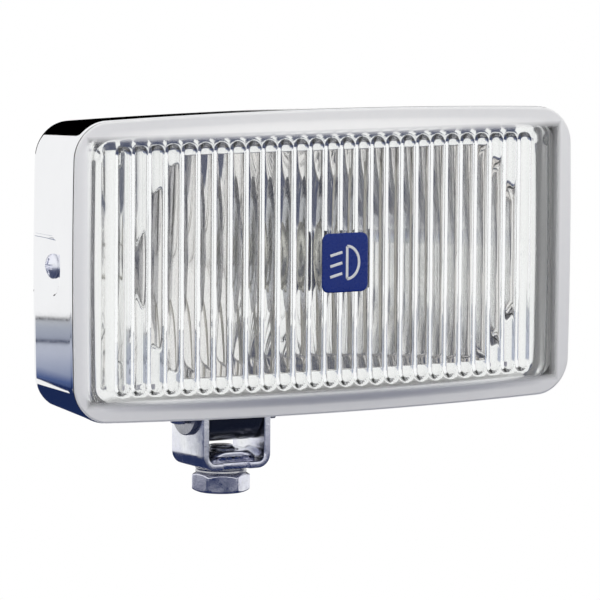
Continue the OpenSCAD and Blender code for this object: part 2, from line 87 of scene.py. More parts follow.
class CaseSettings(bpy.types.PropertyGroup):
    """Sizes of the chromed case."""

    width: length("Width", "Width of the front outline at its corners", 181.6 * MM)
    height: length("Height", "Height of the front outline at its corners", 93.6 * MM)
    corner: length("Corner", "Corner radius of the front outline", 11.5 * MM)
    bow_long: length("Bow of long sides", "How far the top and bottom bow outwards", 1.9 * MM)
    bow_short: length("Bow of short sides", "How far the left and right sides bow outwards", 0.7 * MM)
    side: length("Side depth", "Depth of the straight side", 29 * MM)
    bulge_depth: length("Bulge depth", "Depth from the front outline to the back", 84 * MM)
    bulge_half: length("Half bulge height", "Half the height of the rear bulge", 38.2 * MM)
    wall: length("Wall", "Sheet thickness", 1.4 * MM)


class LensSettings(bpy.types.PropertyGroup):
    """Sizes of the glass lens."""

    flutes: IntProperty(name="Flutes", description="Number of upright flutes", default=27, min=3)
    pitch: length("Pitch", "Distance between flutes", 5.65 * MM)
    rise: length("Rise", "How far the middle stands in front of the case", 4.9 * MM)
    curve: length("Curve radius", "Radius of the front face seen from above", 1150 * MM)
    glass: length("Glass", "Thickness between the flutes", 3 * MM)
    flute_depth: length("Flute depth", "Depth of the flutes", 2.6 * MM)


class MirrorSettings(bpy.types.PropertyGroup):
    """Sizes of the reflector."""

    focal: length("Focal length", "Focal length of the paraboloid", 26 * MM)
    opening: length("Half opening", "Half the height of the opening", 35.3 * MM)
    bulb_hole: length("Bulb hole", "Radius of the hole for the bulb holder", 17 * MM)
    sheet: length("Sheet", "Thickness of the sheet", 1 * MM)


class BracketSettings(bpy.types.PropertyGroup):
    """Sizes of the bracket and its fasteners."""

    sheet: length("Sheet", "Thickness of the bracket", 2.4 * MM)
    bend: length("Bend", "Outer radius of the bends", 4.6 * MM)
    bolt: length("Bolt head", "Distance across the flats of the mounting bolt's head", 17 * MM)


class FinishSettings(bpy.types.PropertyGroup):
    """Colours of the finishes."""

    chrome: colour("Chrome", "Colour of the chrome plating", (0.90, 0.905, 0.92))
    zinc: colour("Zinc", "Colour of the zinc plating", (0.82, 0.835, 0.86))
    steel: colour("Steel", "Colour of the bare steel", (0.56, 0.56, 0.58))
    silver: colour("Silver", "Colour of the mirror coating", (0.95, 0.935, 0.925))
    badge: colour("Badge", "Colour of the badge's enamel", (0.003, 0.026, 0.225))
    rubber: colour("Rubber", "Colour of the rubber", (0.012, 0.012, 0.013))
    paint: colour("Paint", "Colour of the foot's paint", (0.006, 0.007, 0.010))


class StageSettings(bpy.types.PropertyGroup):
    """Camera and light."""

    azimuth: FloatProperty(
        name="Azimuth", description="How far the camera stands to the left of the lens's axis",
        default=math.radians(30.16), subtype="ANGLE",
    )
    elevation: FloatProperty(
        name="Elevation", description="Height of the camera above the horizon",
        default=math.radians(5.72), subtype="ANGLE",
    )
    roll: FloatProperty(
        name="Roll", description="Turn of the camera about its own axis",
        default=math.radians(0.43), subtype="ANGLE",
    )
    distance: length("Distance", "From the camera to the middle of the lens", 1.582)
    focal: length("Focal length", "Focal length of the camera on a 36 mm sensor", 298.2 * MM)
    brightness: FloatProperty(
        name="Brightness", description="Strength of the surrounding light", default=1.0, min=0
    )


SETTINGS = {
    "case": CaseSettings,
    "lens": LensSettings,
    "mirror": MirrorSettings,
    "yoke": BracketSettings,
    "finish": FinishSettings,
    "stage": StageSettings,
}


def settings(group):
    """The scene's settings of one group."""
    return getattr(bpy.context.scene, "fog_lamp_" + group)


# ---------------------------------------------------------------- surfaces

def smooth(x):
    """0 below 0, 1 above 1, and 3x^2 - 2x^3 between."""
    x = np.clip(x, 0, 1)
    return x * x * (3 - 2 * x)


def soft_least(one, other, soft):
    """The smaller of two lengths, rounded off where they meet: -soft log(exp(-a/soft) + exp(-b/soft))."""
    return -np.logaddexp(-one / soft, -other / soft) * soft


def new_piece(name, shell, slot, body, replaced=(), material=None):
    """Makes a smooth mesh object from (points, faces), riding on a body in its slot's finish or its own."""
    points, faces = shell
    mesh = bpy.data.meshes.new(name)
    mesh.from_pydata(np.asarray(points, float).reshape(-1, 3), [], faces)
    mesh.validate()
    mesh.polygons.foreach_set("use_smooth", np.ones(len(mesh.polygons), bool))
    mesh.materials.append(material or finish_of(slot))
    mesh.update()
    piece = bpy.data.objects.new(name, mesh)
    bpy.context.scene.collection.objects.link(piece)
    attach(piece, body)
    if replaced:
        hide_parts(*replaced)
    return piece


def grid_faces(rows, cols, wrap_rows=False, wrap_cols=False, start=0):
    """Quads between neighbouring points of a grid; a wrapped side joins its last line to its first."""
    r = np.arange(rows if wrap_rows else rows - 1)
    c = np.arange(cols if wrap_cols else cols - 1)
    r, c = np.meshgrid(r, c, indexing="ij")
    r2, c2 = (r + 1) % rows, (c + 1) % cols
    quads = np.stack([r * cols + c, r * cols + c2, r2 * cols + c2, r2 * cols + c], -1)
    return (quads.reshape(-1, 4) + start).tolist()


def join_shells(*shells):
    """Puts several (points, faces) together as one."""
    points, faces, start = [], [], 0
    for pts, fcs in shells:
        pts = np.asarray(pts, float).reshape(-1, 3)
        points.append(pts)
        faces += [[i + start for i in f] for f in fcs]
        start += len(pts)
    return np.concatenate(points), faces


def turned_inside_out(points, faces):
    """True where the faces of a closed shell point inwards, from the sign of its volume."""
    p = np.asarray(points, float).reshape(-1, 3)
    volume = 0.0
    sizes = np.array([len(f) for f in faces])
    for n in set(sizes.tolist()):
        block = np.array([f for f in faces if len(f) == n])
        for k in range(1, n - 1):
            a, b, c = p[block[:, 0]], p[block[:, k]], p[block[:, k + 1]]
            volume += float(np.einsum("ij,ij->i", a, np.cross(b, c)).sum())
    return volume < 0


def outward(points, faces):
    """The same closed shell with its faces pointing outwards."""
    if turned_inside_out(points, faces):
        faces = [f[::-1] for f in faces]
    return points, faces


def skin(rings, closed=False):
    """Closed surface through rings of points: capped at both ends, or joined end to end when closed."""
    rings = np.asarray(rings, float)
    rows, cols = rings.shape[:2]
    faces = grid_faces(rows, cols, wrap_rows=closed, wrap_cols=True)
    if not closed:
        faces.append(list(range(cols))[::-1])
        faces.append([(rows - 1) * cols + i for i in range(cols)])
    return outward(rings.reshape(-1, 3), faces)


def around(radius, angle, height):
    """Points at a radius and an angle round +Z and at a height; each of the three may be an array."""
    return np.stack(np.broadcast_arrays(radius * np.cos(angle), radius * np.sin(angle), height), -1)


def rounded_profile(corners, radii, steps=6, hold=0.12 * MM):
    """A polyline with each inner corner rounded by an arc, and a point a little before and after it.

    The arc of radius r touches both lines at r / tan(half the angle between them) from the corner."""
    corners = [np.array(c, float) for c in corners]
    out = [corners[0]]
    for k in range(1, len(corners) - 1):
        a, b, c = corners[k - 1], corners[k], corners[k + 1]
        u, v = (a - b) / np.linalg.norm(a - b), (c - b) / np.linalg.norm(c - b)
        half = math.acos(float(np.clip(u @ v, -1, 1))) / 2
        reach = min(radii[k - 1] / math.tan(half), 0.45 * np.linalg.norm(a - b), 0.45 * np.linalg.norm(c - b))
        r = reach * math.tan(half)
        middle = b + (u + v) / np.linalg.norm(u + v) * r / math.sin(half)
        p, q = b + u * reach - middle, b + v * reach - middle
        turn = math.acos(float(np.clip(p @ q / (r * r), -1, 1)))
        out.append(b + u * (reach + hold))
        for i in range(steps + 1):
            t = i / steps
            out.append(middle + (math.sin((1 - t) * turn) * p + math.sin(t * turn) * q) / math.sin(turn))
        out.append(b + v * (reach + hold))
    out.append(corners[-1])
    return np.array(out)


def round_angles(count):
    """Angles of one full turn, in equal steps."""
    return np.linspace(0, 2 * math.pi, count, endpoint=False)


def turned(profile, count=96):
    """The rings of a profile of (radius, height) turned about +Z."""
    profile = np.asarray(profile, float)
    return around(profile[:, :1], round_angles(count), profile[:, 1:])


def placed(points, origin, z_axis):
    """Points moved so that their +Z runs along an axis of the frame, and their origin lies at a point."""
    turn = Vector((0, 0, 1)).rotation_difference(Vector(z_axis)).to_matrix()
    return np.asarray(points, float) @ np.array(turn).T + np.array(origin)


def hexagon_radius(angle, flats, sharp=46):
    """Distance from the middle to the edge of a hexagon with slightly round corners.

    It is the p-norm of the distances along the three directions across the flats."""
    spread = sum(np.abs(np.cos(angle - k * math.pi / 3)) ** sharp for k in range(3))
    return flats / 2 * spread ** (-1 / sharp)


def hexagon_angles(per_side=16):
    """Angles round a hexagon, closest together near its corners."""
    t = np.linspace(-1, 1, per_side, endpoint=False)
    side = np.sign(t) * (1 - (1 - np.abs(t)) ** 2.2) * math.pi / 6
    return np.concatenate([side + k * math.pi / 3 for k in range(6)])


def hexagon_head(flats, thick, chamfer, dish=0.0):
    """Rings of a hexagon head from its underside to its top.

    At each height the radius is the smaller of the hexagon's and of a cone's that takes off the corners."""
    a = hexagon_angles()
    corner = flats / 2 / math.cos(math.pi / 6)
    heights = np.concatenate([
        np.linspace(0, chamfer, 7), np.linspace(chamfer, thick - chamfer, 5)[1:-1],
        np.linspace(thick - chamfer, thick, 7),
    ])
    hexagon = hexagon_radius(a, flats)
    rings = []
    for h in heights:
        over = max(0.0, chamfer - h, h - thick + chamfer)
        cone = corner - over * over / chamfer * 1.7 + 0.02 * MM
        rings.append((soft_least(hexagon, cone, 0.08 * MM), h))
    r_low, r_top = rings[0][0], rings[-1][0]
    for k, drop in ((0.97, 0.0), (0.8, 0.0), (0.62, dish), (0.3, dish), (0.02, dish)):
        rings.append((r_top * k, thick - drop))
    low = [(r_low * k, 0.0) for k in (0.02, 0.5, 0.97)]
    return np.array([around(r, a, z) for r, z in low + rings])


def outline(w, h, r, bow_x=0.0, bow_z=0.0, long_nodes=None, short_nodes=None, arc=14):
    """Points (x, z) round a rectangle with round corners, with its sides bowed outwards.

    The bow adds bow_x (1 - (2z/h)^2) to x and bow_z (1 - (2x/w)^2) to z, away from the middle."""
    long_nodes = np.linspace(-1, 1, 65) if long_nodes is None else long_nodes
    short_nodes = np.linspace(-1, 1, 41) if short_nodes is None else short_nodes
    a, b = w / 2 - r, h / 2 - r
    t = np.linspace(0, math.pi / 2, arc + 2)[1:-1]
    parts = [
        np.stack([np.full_like(short_nodes, w / 2), short_nodes * b], -1),
        np.stack([a + r * np.cos(t), b + r * np.sin(t)], -1),
        np.stack([long_nodes[::-1] * a, np.full_like(long_nodes, h / 2)], -1),
        np.stack([-a - r * np.sin(t), b + r * np.cos(t)], -1),
        np.stack([np.full_like(short_nodes, -w / 2), short_nodes[::-1] * b], -1),
        np.stack([-a - r * np.cos(t), -b - r * np.sin(t)], -1),
        np.stack([long_nodes * a, np.full_like(long_nodes, -h / 2)], -1),
        np.stack([a + r * np.sin(t), -b - r * np.cos(t)], -1),
    ]
    p = np.concatenate(parts)
    x, z = p[:, 0], p[:, 1]
    side_x = np.clip(x / (0.3 * w), -1, 1)
    side_z = np.clip(z / (0.3 * h), -1, 1)
    return np.stack([
        x + side_x * bow_x * (1 - (2 * z / h) ** 2), z + side_z * bow_z * (1 - (2 * x / w) ** 2)
    ], -1)


def at_depth(xz, depth):
    """Points of an outline as 3-D points at a depth behind the front outline of the case."""
    return np.stack([xz[:, 0], np.full(len(xz), FRONT_Y + depth), LAMP_Z + xz[:, 1]], -1)


# ---------------------------------------------------------------- shader maths

class Value:
    """A node's output socket that takes part in Python expressions; each operator adds a Math node."""

    def __init__(self, shader, socket):
        self.shader = shader
        self.socket = socket

    def maths(self, operation, *values):
        return self.shader.node("ShaderNodeMath", {"operation": operation}, *values)

    def __add__(self, other):
        return self.maths("ADD", self, other)

    def __radd__(self, other):
        return self.maths("ADD", other, self)

    def __sub__(self, other):
        return self.maths("SUBTRACT", self, other)

    def __rsub__(self, other):
        return self.maths("SUBTRACT", other, self)

    def __mul__(self, other):
        return self.maths("MULTIPLY", self, other)

    def __rmul__(self, other):
        return self.maths("MULTIPLY", other, self)

    def __gt__(self, other):
        return self.maths("GREATER_THAN", self, other)

    def __lt__(self, other):
        return self.maths("LESS_THAN", self, other)

    def __abs__(self):
        return self.maths("ABSOLUTE", self)

    def sine(self):
        return self.maths("SINE", self)

    def larger(self, other):
        return self.maths("MAXIMUM", self, other)


class Shader:
    """A material's node tree, with one Principled shader."""

    def __init__(self, name, **constants):
        self.material = bpy.data.materials.new(name)
        self.material.use_nodes = True
        self.tree = self.material.node_tree
        self.bsdf = self.tree.nodes["Principled BSDF"]
        self.place = self.node("ShaderNodeTexCoord", out="Object")
        self.set(**constants)

    def feed(self, socket, value):
        """Links a value into a socket, or sets the socket's own number or colour."""
        if isinstance(value, Value):
            self.tree.links.new(value.socket, socket)
        elif hasattr(value, "__len__") and len(value) == 3 and len(socket.default_value) == 4:
            socket.default_value = (*value, 1)
        else:
            socket.default_value = value

    def node(self, kind, options=None, *values, out=0, at=None, **named):
        """Adds a node: its settings first, then the values or links of its sockets.

        The sockets are taken in order, by their place (at) or by name."""
        made = self.tree.nodes.new(kind)
        for key, value in (options or {}).items():
            setattr(made, key, value)
        for place, value in {**dict(enumerate(values)), **(at or {})}.items():
            self.feed(made.inputs[place], value)
        for key, value in named.items():
            self.feed(made.inputs[key.replace("_", " ")], value)
        return Value(self, made.outputs[out])

    def noise(self, scale, detail=3.0):
        """Noise of about 0.5 with a scale per metre."""
        return self.node("ShaderNodeTexNoise", Vector=self.place, Scale=scale, Detail=detail, Roughness=0.55)

    def along(self, axis):
        """One coordinate of the point, in metres."""
        return self.node("ShaderNodeSeparateXYZ", {}, self.place, out=axis)

    def ramp(self, value, low, high, dark, light):
        """A value between low and high, drawn out between two numbers."""
        return self.node("ShaderNodeMapRange", {"clamp": True}, value, low, high, dark, light)

    def mix(self, factor, one, other):
        """A colour between two colours."""
        return self.node("ShaderNodeMix", {"data_type": "RGBA"}, out=2, at={0: factor, 6: one, 7: other})

    def bump(self, height, distance):
        """Sends a height to the shader's normal."""
        self.set(Normal=self.node("ShaderNodeBump", Height=height, Distance=distance, Strength=1.0))

    def veil(self, factor, tint, roughness):
        """Covers the surface with a dull layer, as much as the factor says."""
        layer = self.node("ShaderNodeBsdfPrincipled", Base_Color=tint, Roughness=roughness)
        both = self.node("ShaderNodeMixShader", {}, factor, Value(self, self.bsdf.outputs[0]), layer)
        self.feed(self.tree.nodes["Material Output"].inputs["Surface"], both)

    def set(self, **values):
        """Feeds sockets of the Principled shader."""
        for key, value in values.items():
            self.feed(self.bsdf.inputs[key.replace("_", " ")], value)


def darker(shade, factor):
    """A colour made darker by a factor."""
    return tuple(c * factor for c in shade)


def varied_material(name, low, high, tone, rough, relief, **constants):
    """A finish between two colours, with its colour, roughness and relief varied by noise.

    Each noise is given by its scale and detail. After them rough holds a ramp's four numbers, and relief
    the height in millimetres."""
    s = Shader(name, **constants)
    s.set(Base_Color=s.mix(s.noise(*tone), low, high))
    s.set(Roughness=s.ramp(s.noise(*rough[:2]), *rough[2:]))
    s.bump(s.noise(*relief[:2]), relief[2] * MM)
    return s.material


def glass_material():
    """Pressed clear glass with a faint swell from its mould, its border knurled dull behind."""
    s = Shader(
        "pressed_glass", Base_Color=(0.97, 0.985, 0.985), Metallic=0.0, Roughness=0.0, IOR=1.5,
        Transmission_Weight=1.0
    )
    rib_pitch, dullness = 0.9 * MM, 0.88
    out = abs(s.along(0))
    ribs = (s.along(2) * (2 * math.pi / rib_pitch)).sine() * (out > 86.0 * MM) * (out < 86.9 * MM)
    s.bump(s.noise(120, 1) * 0.35 + ribs * 0.3, 0.08 * MM)
    beside = s.ramp(out, 85.0 * MM, 87.0 * MM, 0.0, dullness)
    above = s.ramp(abs(s.along(2) - LAMP_Z), 40.2 * MM, 42.6 * MM, 0.0, dullness)
    grain = s.mix(s.noise(350, 3), (0.995, 0.985, 0.98), (0.95, 0.95, 0.955))
    s.veil(beside.larger(above), grain, 0.3)
    return s.material


def zinc_material(name="zinc_plating", tone=1.0, dull=0.0):
    """Zinc plating: pale grey metal with a violet cast in patches and fine marks.

    The tone makes it darker, and dull is added to its roughness."""
    tint = darker(settings("finish").zinc, tone)
    violet = tuple(c * k for c, k in zip(tint, (0.86, 0.85, 0.98)))
    s = Shader(name, Metallic=1.0)
    cast = s.mix(s.ramp(s.noise(55, 3), 0.35, 0.7, 0, 1), tint, violet)
    s.set(Base_Color=s.mix(s.ramp(s.noise(700, 4), 0.55, 0.8, 0, 0.5), cast, darker(tint, 0.7)))
    s.set(Roughness=s.ramp(s.noise(260, 4), 0.3, 0.75, 0.12 + dull, 0.3 + dull))
    s.bump(s.noise(800, 3) * 0.6 + s.noise(120, 2), 0.03 * MM)
    return s.material


def enamel_material(name, tint):
    """Hard glossy enamel with slight mottling."""
    return varied_material(name, tint, darker(tint, 0.82), (400, 3), (600, 3, 0.3, 0.7, 0.22, 0.36),
                           (900, 2, 0.01), Specular_IOR_Level=0.25)


def brass_material(name="brass", tint=(0.72, 0.52, 0.24)):
    """Turned metal with light tarnish."""
    s = Shader(name, Metallic=1.0)
    s.set(Base_Color=s.mix(s.ramp(s.noise(500, 4), 0.4, 0.7, 0, 1), tint, darker(tint, 0.6)))
    s.set(Roughness=s.ramp(s.noise(700, 3), 0.3, 0.7, 0.2, 0.4))
    s.bump(s.noise(1200, 2), 0.02 * MM)
    return s.material


def bulb_glass_material():
    """Thin clear quartz glass."""
    s = Shader(
        "quartz_glass", Base_Color=(0.98, 0.98, 0.98), Roughness=0.0, IOR=1.46, Transmission_Weight=1.0
    )
    s.bump(s.noise(300, 1), 0.01 * MM)
    return s.material


def finish_of(slot):
    """The material of a slot, made once."""
    made = bpy.data.materials.get("slot." + slot)
    if made is None:
        names = ("chrome", "silver", "steel", "rubber", "paint", "badge")
        chrome, silver, steel, rubber, paint, badge = (tuple(getattr(settings("finish"), n)) for n in names)
        makers = {
            "chrome": lambda: varied_material(
                "bright_chrome", darker(chrome, 0.94), chrome, (60, 4), (900, 3, 0.3, 0.75, 0.025, 0.06),
                (26, 1.5, 0.05), Metallic=1.0),
            "lens_glass": glass_material,
            "black_rubber": lambda: varied_material(
                "black_rubber", rubber, darker(rubber, 1.9), (200, 3), (900, 3, 0.3, 0.7, 0.45, 0.62),
                (2500, 3, 0.03), Specular_IOR_Level=0.4),
            "badge_blue": lambda: enamel_material("badge_enamel", badge),
            "reflector_silver": lambda: varied_material(
                "mirror_coating", darker(silver, 0.95), silver, (90, 2), (400, 2, 0.3, 0.7, 0.02, 0.05),
                (45, 1.5, 0.03), Metallic=1.0),
            "plain_steel": lambda: varied_material(
                "plain_steel", darker(steel, 0.8), steel, (300, 4), (500, 4, 0.3, 0.7, 0.18, 0.36),
                (1500, 3, 0.02), Metallic=1.0),
            "bulb_metal": lambda: brass_material("bulb_metal", (0.62, 0.6, 0.55)),
            "bulb_glass": bulb_glass_material,
            "lead_red": lambda: enamel_material("lead_sleeve", (0.5, 0.015, 0.012)),
            "terminal_plastic": lambda: enamel_material("terminal_plastic", (0.78, 0.76, 0.68)),
            "brass": brass_material,
            "zinc_plate": zinc_material,
            "black_paint": lambda: varied_material(
                "black_enamel", paint, darker(paint, 2.2), (80, 2), (300, 3, 0.3, 0.7, 0.12, 0.26),
                (140, 2, 0.06), Coat_Weight=1.0, Coat_Roughness=0.03),
        }
        made = makers[slot]()
        made.name = "slot." + slot
    return made


def dress_node(node, slot):
    """Gives a carried part the material of its slot."""
    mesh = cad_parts[node].data
    if len(mesh.materials) == 0:
        mesh.materials.append(None)
    for k in range(len(mesh.materials)):
        mesh.materials[k] = finish_of(slot)


# ---------------------------------------------------------------- case

RECESS_MIDDLE = 1.2 * MM
RECESS_HALF = 9.2 * MM
RECESS_FRONT = 9 * MM
RECESS_CORNER = 5 * MM
RECESS_FLOOR = 90.15 * MM
RECESS_RAMP = 0.5 * MM


def recess_mask(depth, z):
    """How far a point lies inside the pressing round a side screw: 0 outside and 1 on its floor.

    The pressing is a rectangle open at the rear with round front corners, and its wall is a smooth ramp."""
    long = 60 * MM
    qx = np.abs(depth - RECESS_FRONT - long) - (long - RECESS_CORNER)
    qz = np.abs(z - RECESS_MIDDLE) - (RECESS_HALF - RECESS_CORNER)
    outside = np.hypot(np.maximum(qx, 0), np.maximum(qz, 0)) + np.minimum(np.maximum(qx, qz), 0)
    return smooth((RECESS_CORNER - outside) / RECESS_RAMP)


def case_nodes(case):
    """Where the outline's points stand along its short sides: closest at the pressing's edges."""
    half = case.height / 2 - case.corner
    edge = RECESS_HALF - np.linspace(-1, 5, 15) * MM
    z = np.concatenate([np.linspace(-half, half, 21), RECESS_MIDDLE - edge, RECESS_MIDDLE + edge]) / half
    z = np.unique(np.round(z, 5))
    return z[np.concatenate([[True], np.diff(z) > 0.004])]


def case_rings(case, inset):
    """Outlines (depth, width, height, corner, bow share) from behind the lip to the flat back."""
    t, w, h, r = case.side, case.width - 2 * inset, case.height - 2 * inset, case.corner - inset
    b = case.bulge_half - inset
    g = 2 * inset
    straight = np.concatenate([
        np.linspace(3, 9, 5), np.linspace(9.3, 14.4, 16), np.linspace(15.5, 26.0, 9)
    ]) * MM
    rows = []
    for d in straight:
        k = (d - 1 * MM) / (t - 3.5 * MM)
        rows.append((d, w - 1.6 * MM * k, h - 3.3 * MM * k, r - 1 * MM * k, 1))
    rows += [
        (t - 2.5 * MM, w - 1.6 * MM, h - 3.3 * MM, r - 1 * MM, 1),
        (t - 1.5 * MM, w - 1.95 * MM, h - 3.65 * MM, r - 1 * MM, 1),
        (t - 0.6 * MM, w - 2.6 * MM, h - 4.4 * MM, r - 1 * MM, 1),
        (t + 0.4 * MM - inset, w - 3.9 * MM, h - 5.6 * MM, r - 1.2 * MM, 1),
        (t + 1.2 * MM - inset, w - 6 * MM, h - 7.6 * MM, r - 1.5 * MM, 1),
        (t + 2.1 * MM - inset, w - 10 * MM, h - 9.4 * MM, r - 1 * MM, 0.9),
        (t + 2.7 * MM - inset, w - 15 * MM, h - 11.2 * MM, r, 0.8),
        (t + 3.0 * MM - inset, w - 22 * MM, h - 13 * MM, r, 0.6),
        (t + 3.0 * MM - inset, w - 40 * MM, h - 14.6 * MM, 14 * MM, 0.3),
        (t + 3.0 * MM - inset, 118 * MM - g, 2 * b + 1.2 * MM, 18 * MM, 0),
        (t + 3.2 * MM - inset, 115.2 * MM - g, 2 * b + 0.4 * MM, 18 * MM, 0),
        (t + 4.0 * MM - inset, 114.2 * MM - g, 2 * b, 18 * MM, 0),
        (t + 5.5 * MM, 114 * MM - g, 2 * b, 18 * MM, 0),
    ]
    for k in np.linspace(0, 1, 7):
        rows.append((t + (15 + 34 * k) * MM, (114 - 12 * k) * MM - g, 2 * b, (18 - 2 * k) * MM, 0))
    end = case.bulge_depth - inset
    for a in np.linspace(0, math.pi / 2, 9):
        s, c = math.sin(a), 1 - math.cos(a)
        size = ((102 - 10 * c) * MM - g, 2 * b - 9 * MM * c, (16 - 2 * c) * MM)
        rows.append((end - 6 * MM + 6 * MM * s, *size, 0))
    for k in (0.97, 0.8, 0.6):
        rows.append((end, (92 * MM - g) * k, (2 * b - 9 * MM) * k, 14 * MM * k, 0))
    return rows


def build_case():
    """The case as one skin: out over the lip, back along the outside to the sleeve's hole, and forward
    again along the inside. Each ring is a bowed outline; near the hole the rings turn into circles."""
    case = settings("case")
    nodes = case_nodes(case)
    lip = case.wall / 2
    hole_x, hole_z, hole_r = 28 * MM, -16 * MM, 6 * MM

    def ring(depth, w, h, r, share):
        p = outline(w, h, r, share * case.bow_short, share * case.bow_long, short_nodes=nodes)
        return at_depth(p, depth)

    def hole(depth, r, template):
        a = np.arctan2(template[:, 2] - LAMP_Z - hole_z, template[:, 0] - hole_x)
        return at_depth(np.stack([hole_x + r * np.cos(a), hole_z + r * np.sin(a)], -1), depth)

    rings = []
    for a in np.linspace(-math.pi / 2, math.pi / 2, 13):
        inset = lip - lip * math.sin(a)
        depth = lip - lip * math.cos(a)
        rings.append(ring(depth, case.width - 2 * inset, case.height - 2 * inset, case.corner - inset, 1))
    rings.append(ring(1.2 * MM, case.width, case.height, case.corner, 1))
    outer = [ring(*row) for row in case_rings(case, 0)]
    for p in outer:
        depth = p[:, 1] - FRONT_Y
        mask = recess_mask(depth, p[:, 2] - LAMP_Z)
        over = np.maximum(np.abs(p[:, 0]) - RECESS_FLOOR, 0) * (depth < case.side)
        p[:, 0] -= np.sign(p[:, 0]) * over * mask
    rings += outer
    back = case.bulge_depth
    rings += [hole(back, hole_r + 4 * MM, rings[-1]), hole(back, hole_r, rings[-1])]
    rings += [hole(back - case.wall, hole_r, rings[-1]), hole(back - case.wall, hole_r + 4 * MM, rings[-1])]
    rings += [ring(*row) for row in case_rings(case, case.wall)[::-1]][::2]
    rings.append(ring(1.2 * MM, case.width - 2 * case.wall, case.height - 2 * case.wall,
                      case.corner - case.wall, 1))
    return new_piece("case_shell", skin(rings, closed=True), "chrome", "lamp", ["housing"])


# ---------------------------------------------------------------- lens

RIM_W, RIM_H, RIM_CORNER = 181.2 * MM, 93.2 * MM, 11.3 * MM
PANE_W, PANE_H, PANE_CORNER = 168.6 * MM, 86.4 * MM, 7 * MM


def box_distance(x, z, w, h, r, bow_x, bow_z):
    """Signed distance inside a bowed rectangle with round corners, positive inside."""
    ax = np.abs(x) - bow_x * (1 - (2 * z / h) ** 2)
    az = np.abs(z) - bow_z * (1 - (2 * x / w) ** 2)
    qx, qz = ax - (w / 2 - r), az - (h / 2 - r)
    return r - (np.hypot(np.maximum(qx, 0), np.maximum(qz, 0)) + np.minimum(np.maximum(qx, qz), 0))


def lens_columns(lens):
    """The x places of the lens's columns: fine at its sides, and closer together near a flute's edges."""
    half = lens.flutes * lens.pitch / 2
    side = np.concatenate([
        np.linspace(half + 0.15 * MM, 84.9 * MM, 30), np.linspace(85.2, 88.4, 12) * MM,
        np.linspace(88.55, 89.3, 9) * MM, np.linspace(89.5, 90.2, 6) * MM,
        np.array([90.35, 90.45, 90.53, 90.58, 90.6]) * MM
    ])
    share = np.array([-1, -0.96, -0.86, -0.68, -0.46, -0.23, 0, 0.23, 0.46, 0.68, 0.86, 0.96])
    middles = (np.arange(lens.flutes) - (lens.flutes - 1) / 2) * lens.pitch
    middle = (middles[:, None] + share[None, :] * lens.pitch / 2).ravel()
    middle = np.append(middle, half)
    return np.concatenate([-side[::-1], middle, side])


def lens_rows():
    """The rows as shares of the half height: fine near the top and bottom."""
    low = np.concatenate([
        np.linspace(0, 0.7, 10), np.linspace(0.72, 0.905, 17), np.linspace(0.912, 0.952, 9),
        np.linspace(0.956, 0.974, 10), np.linspace(0.979, 0.992, 5), [0.995, 0.9975, 0.999, 1]
    ])
    return np.concatenate([-low[:0:-1], low])


def flute_height(x, z, lens):
    """How far the glass is thickened by the flutes.

    Across a flute it is an arc of a circle, sqrt(R^2 - u^2) - (R - depth); past the flute's straight
    part u is the distance from its end, so that it closes as part of a ball."""
    half = lens.pitch / 2
    index = np.round(x / lens.pitch)
    inside = np.abs(index) <= (lens.flutes - 1) / 2
    u = x - index * lens.pitch
    end = 38.7 * MM + 0.8 * MM * (1 - (x / (RIM_W / 2)) ** 2)
    v = np.maximum(np.abs(z) - end + half, 0)
    radius = (half ** 2 + lens.flute_depth ** 2) / (2 * lens.flute_depth)
    arc = np.sqrt(np.maximum(radius ** 2 - u * u - v * v, 0)) - (radius - lens.flute_depth)
    return np.where(inside, np.maximum(arc, 0), 0)


def peg_height(x, z):
    """The two locating pegs in the upper corners: a round boss with a domed end."""
    far = np.hypot(np.abs(x) - 82.6 * MM, z - 36.4 * MM) / (2.0 * MM)
    return 1.3 * MM * smooth((1 - far) / 0.45)


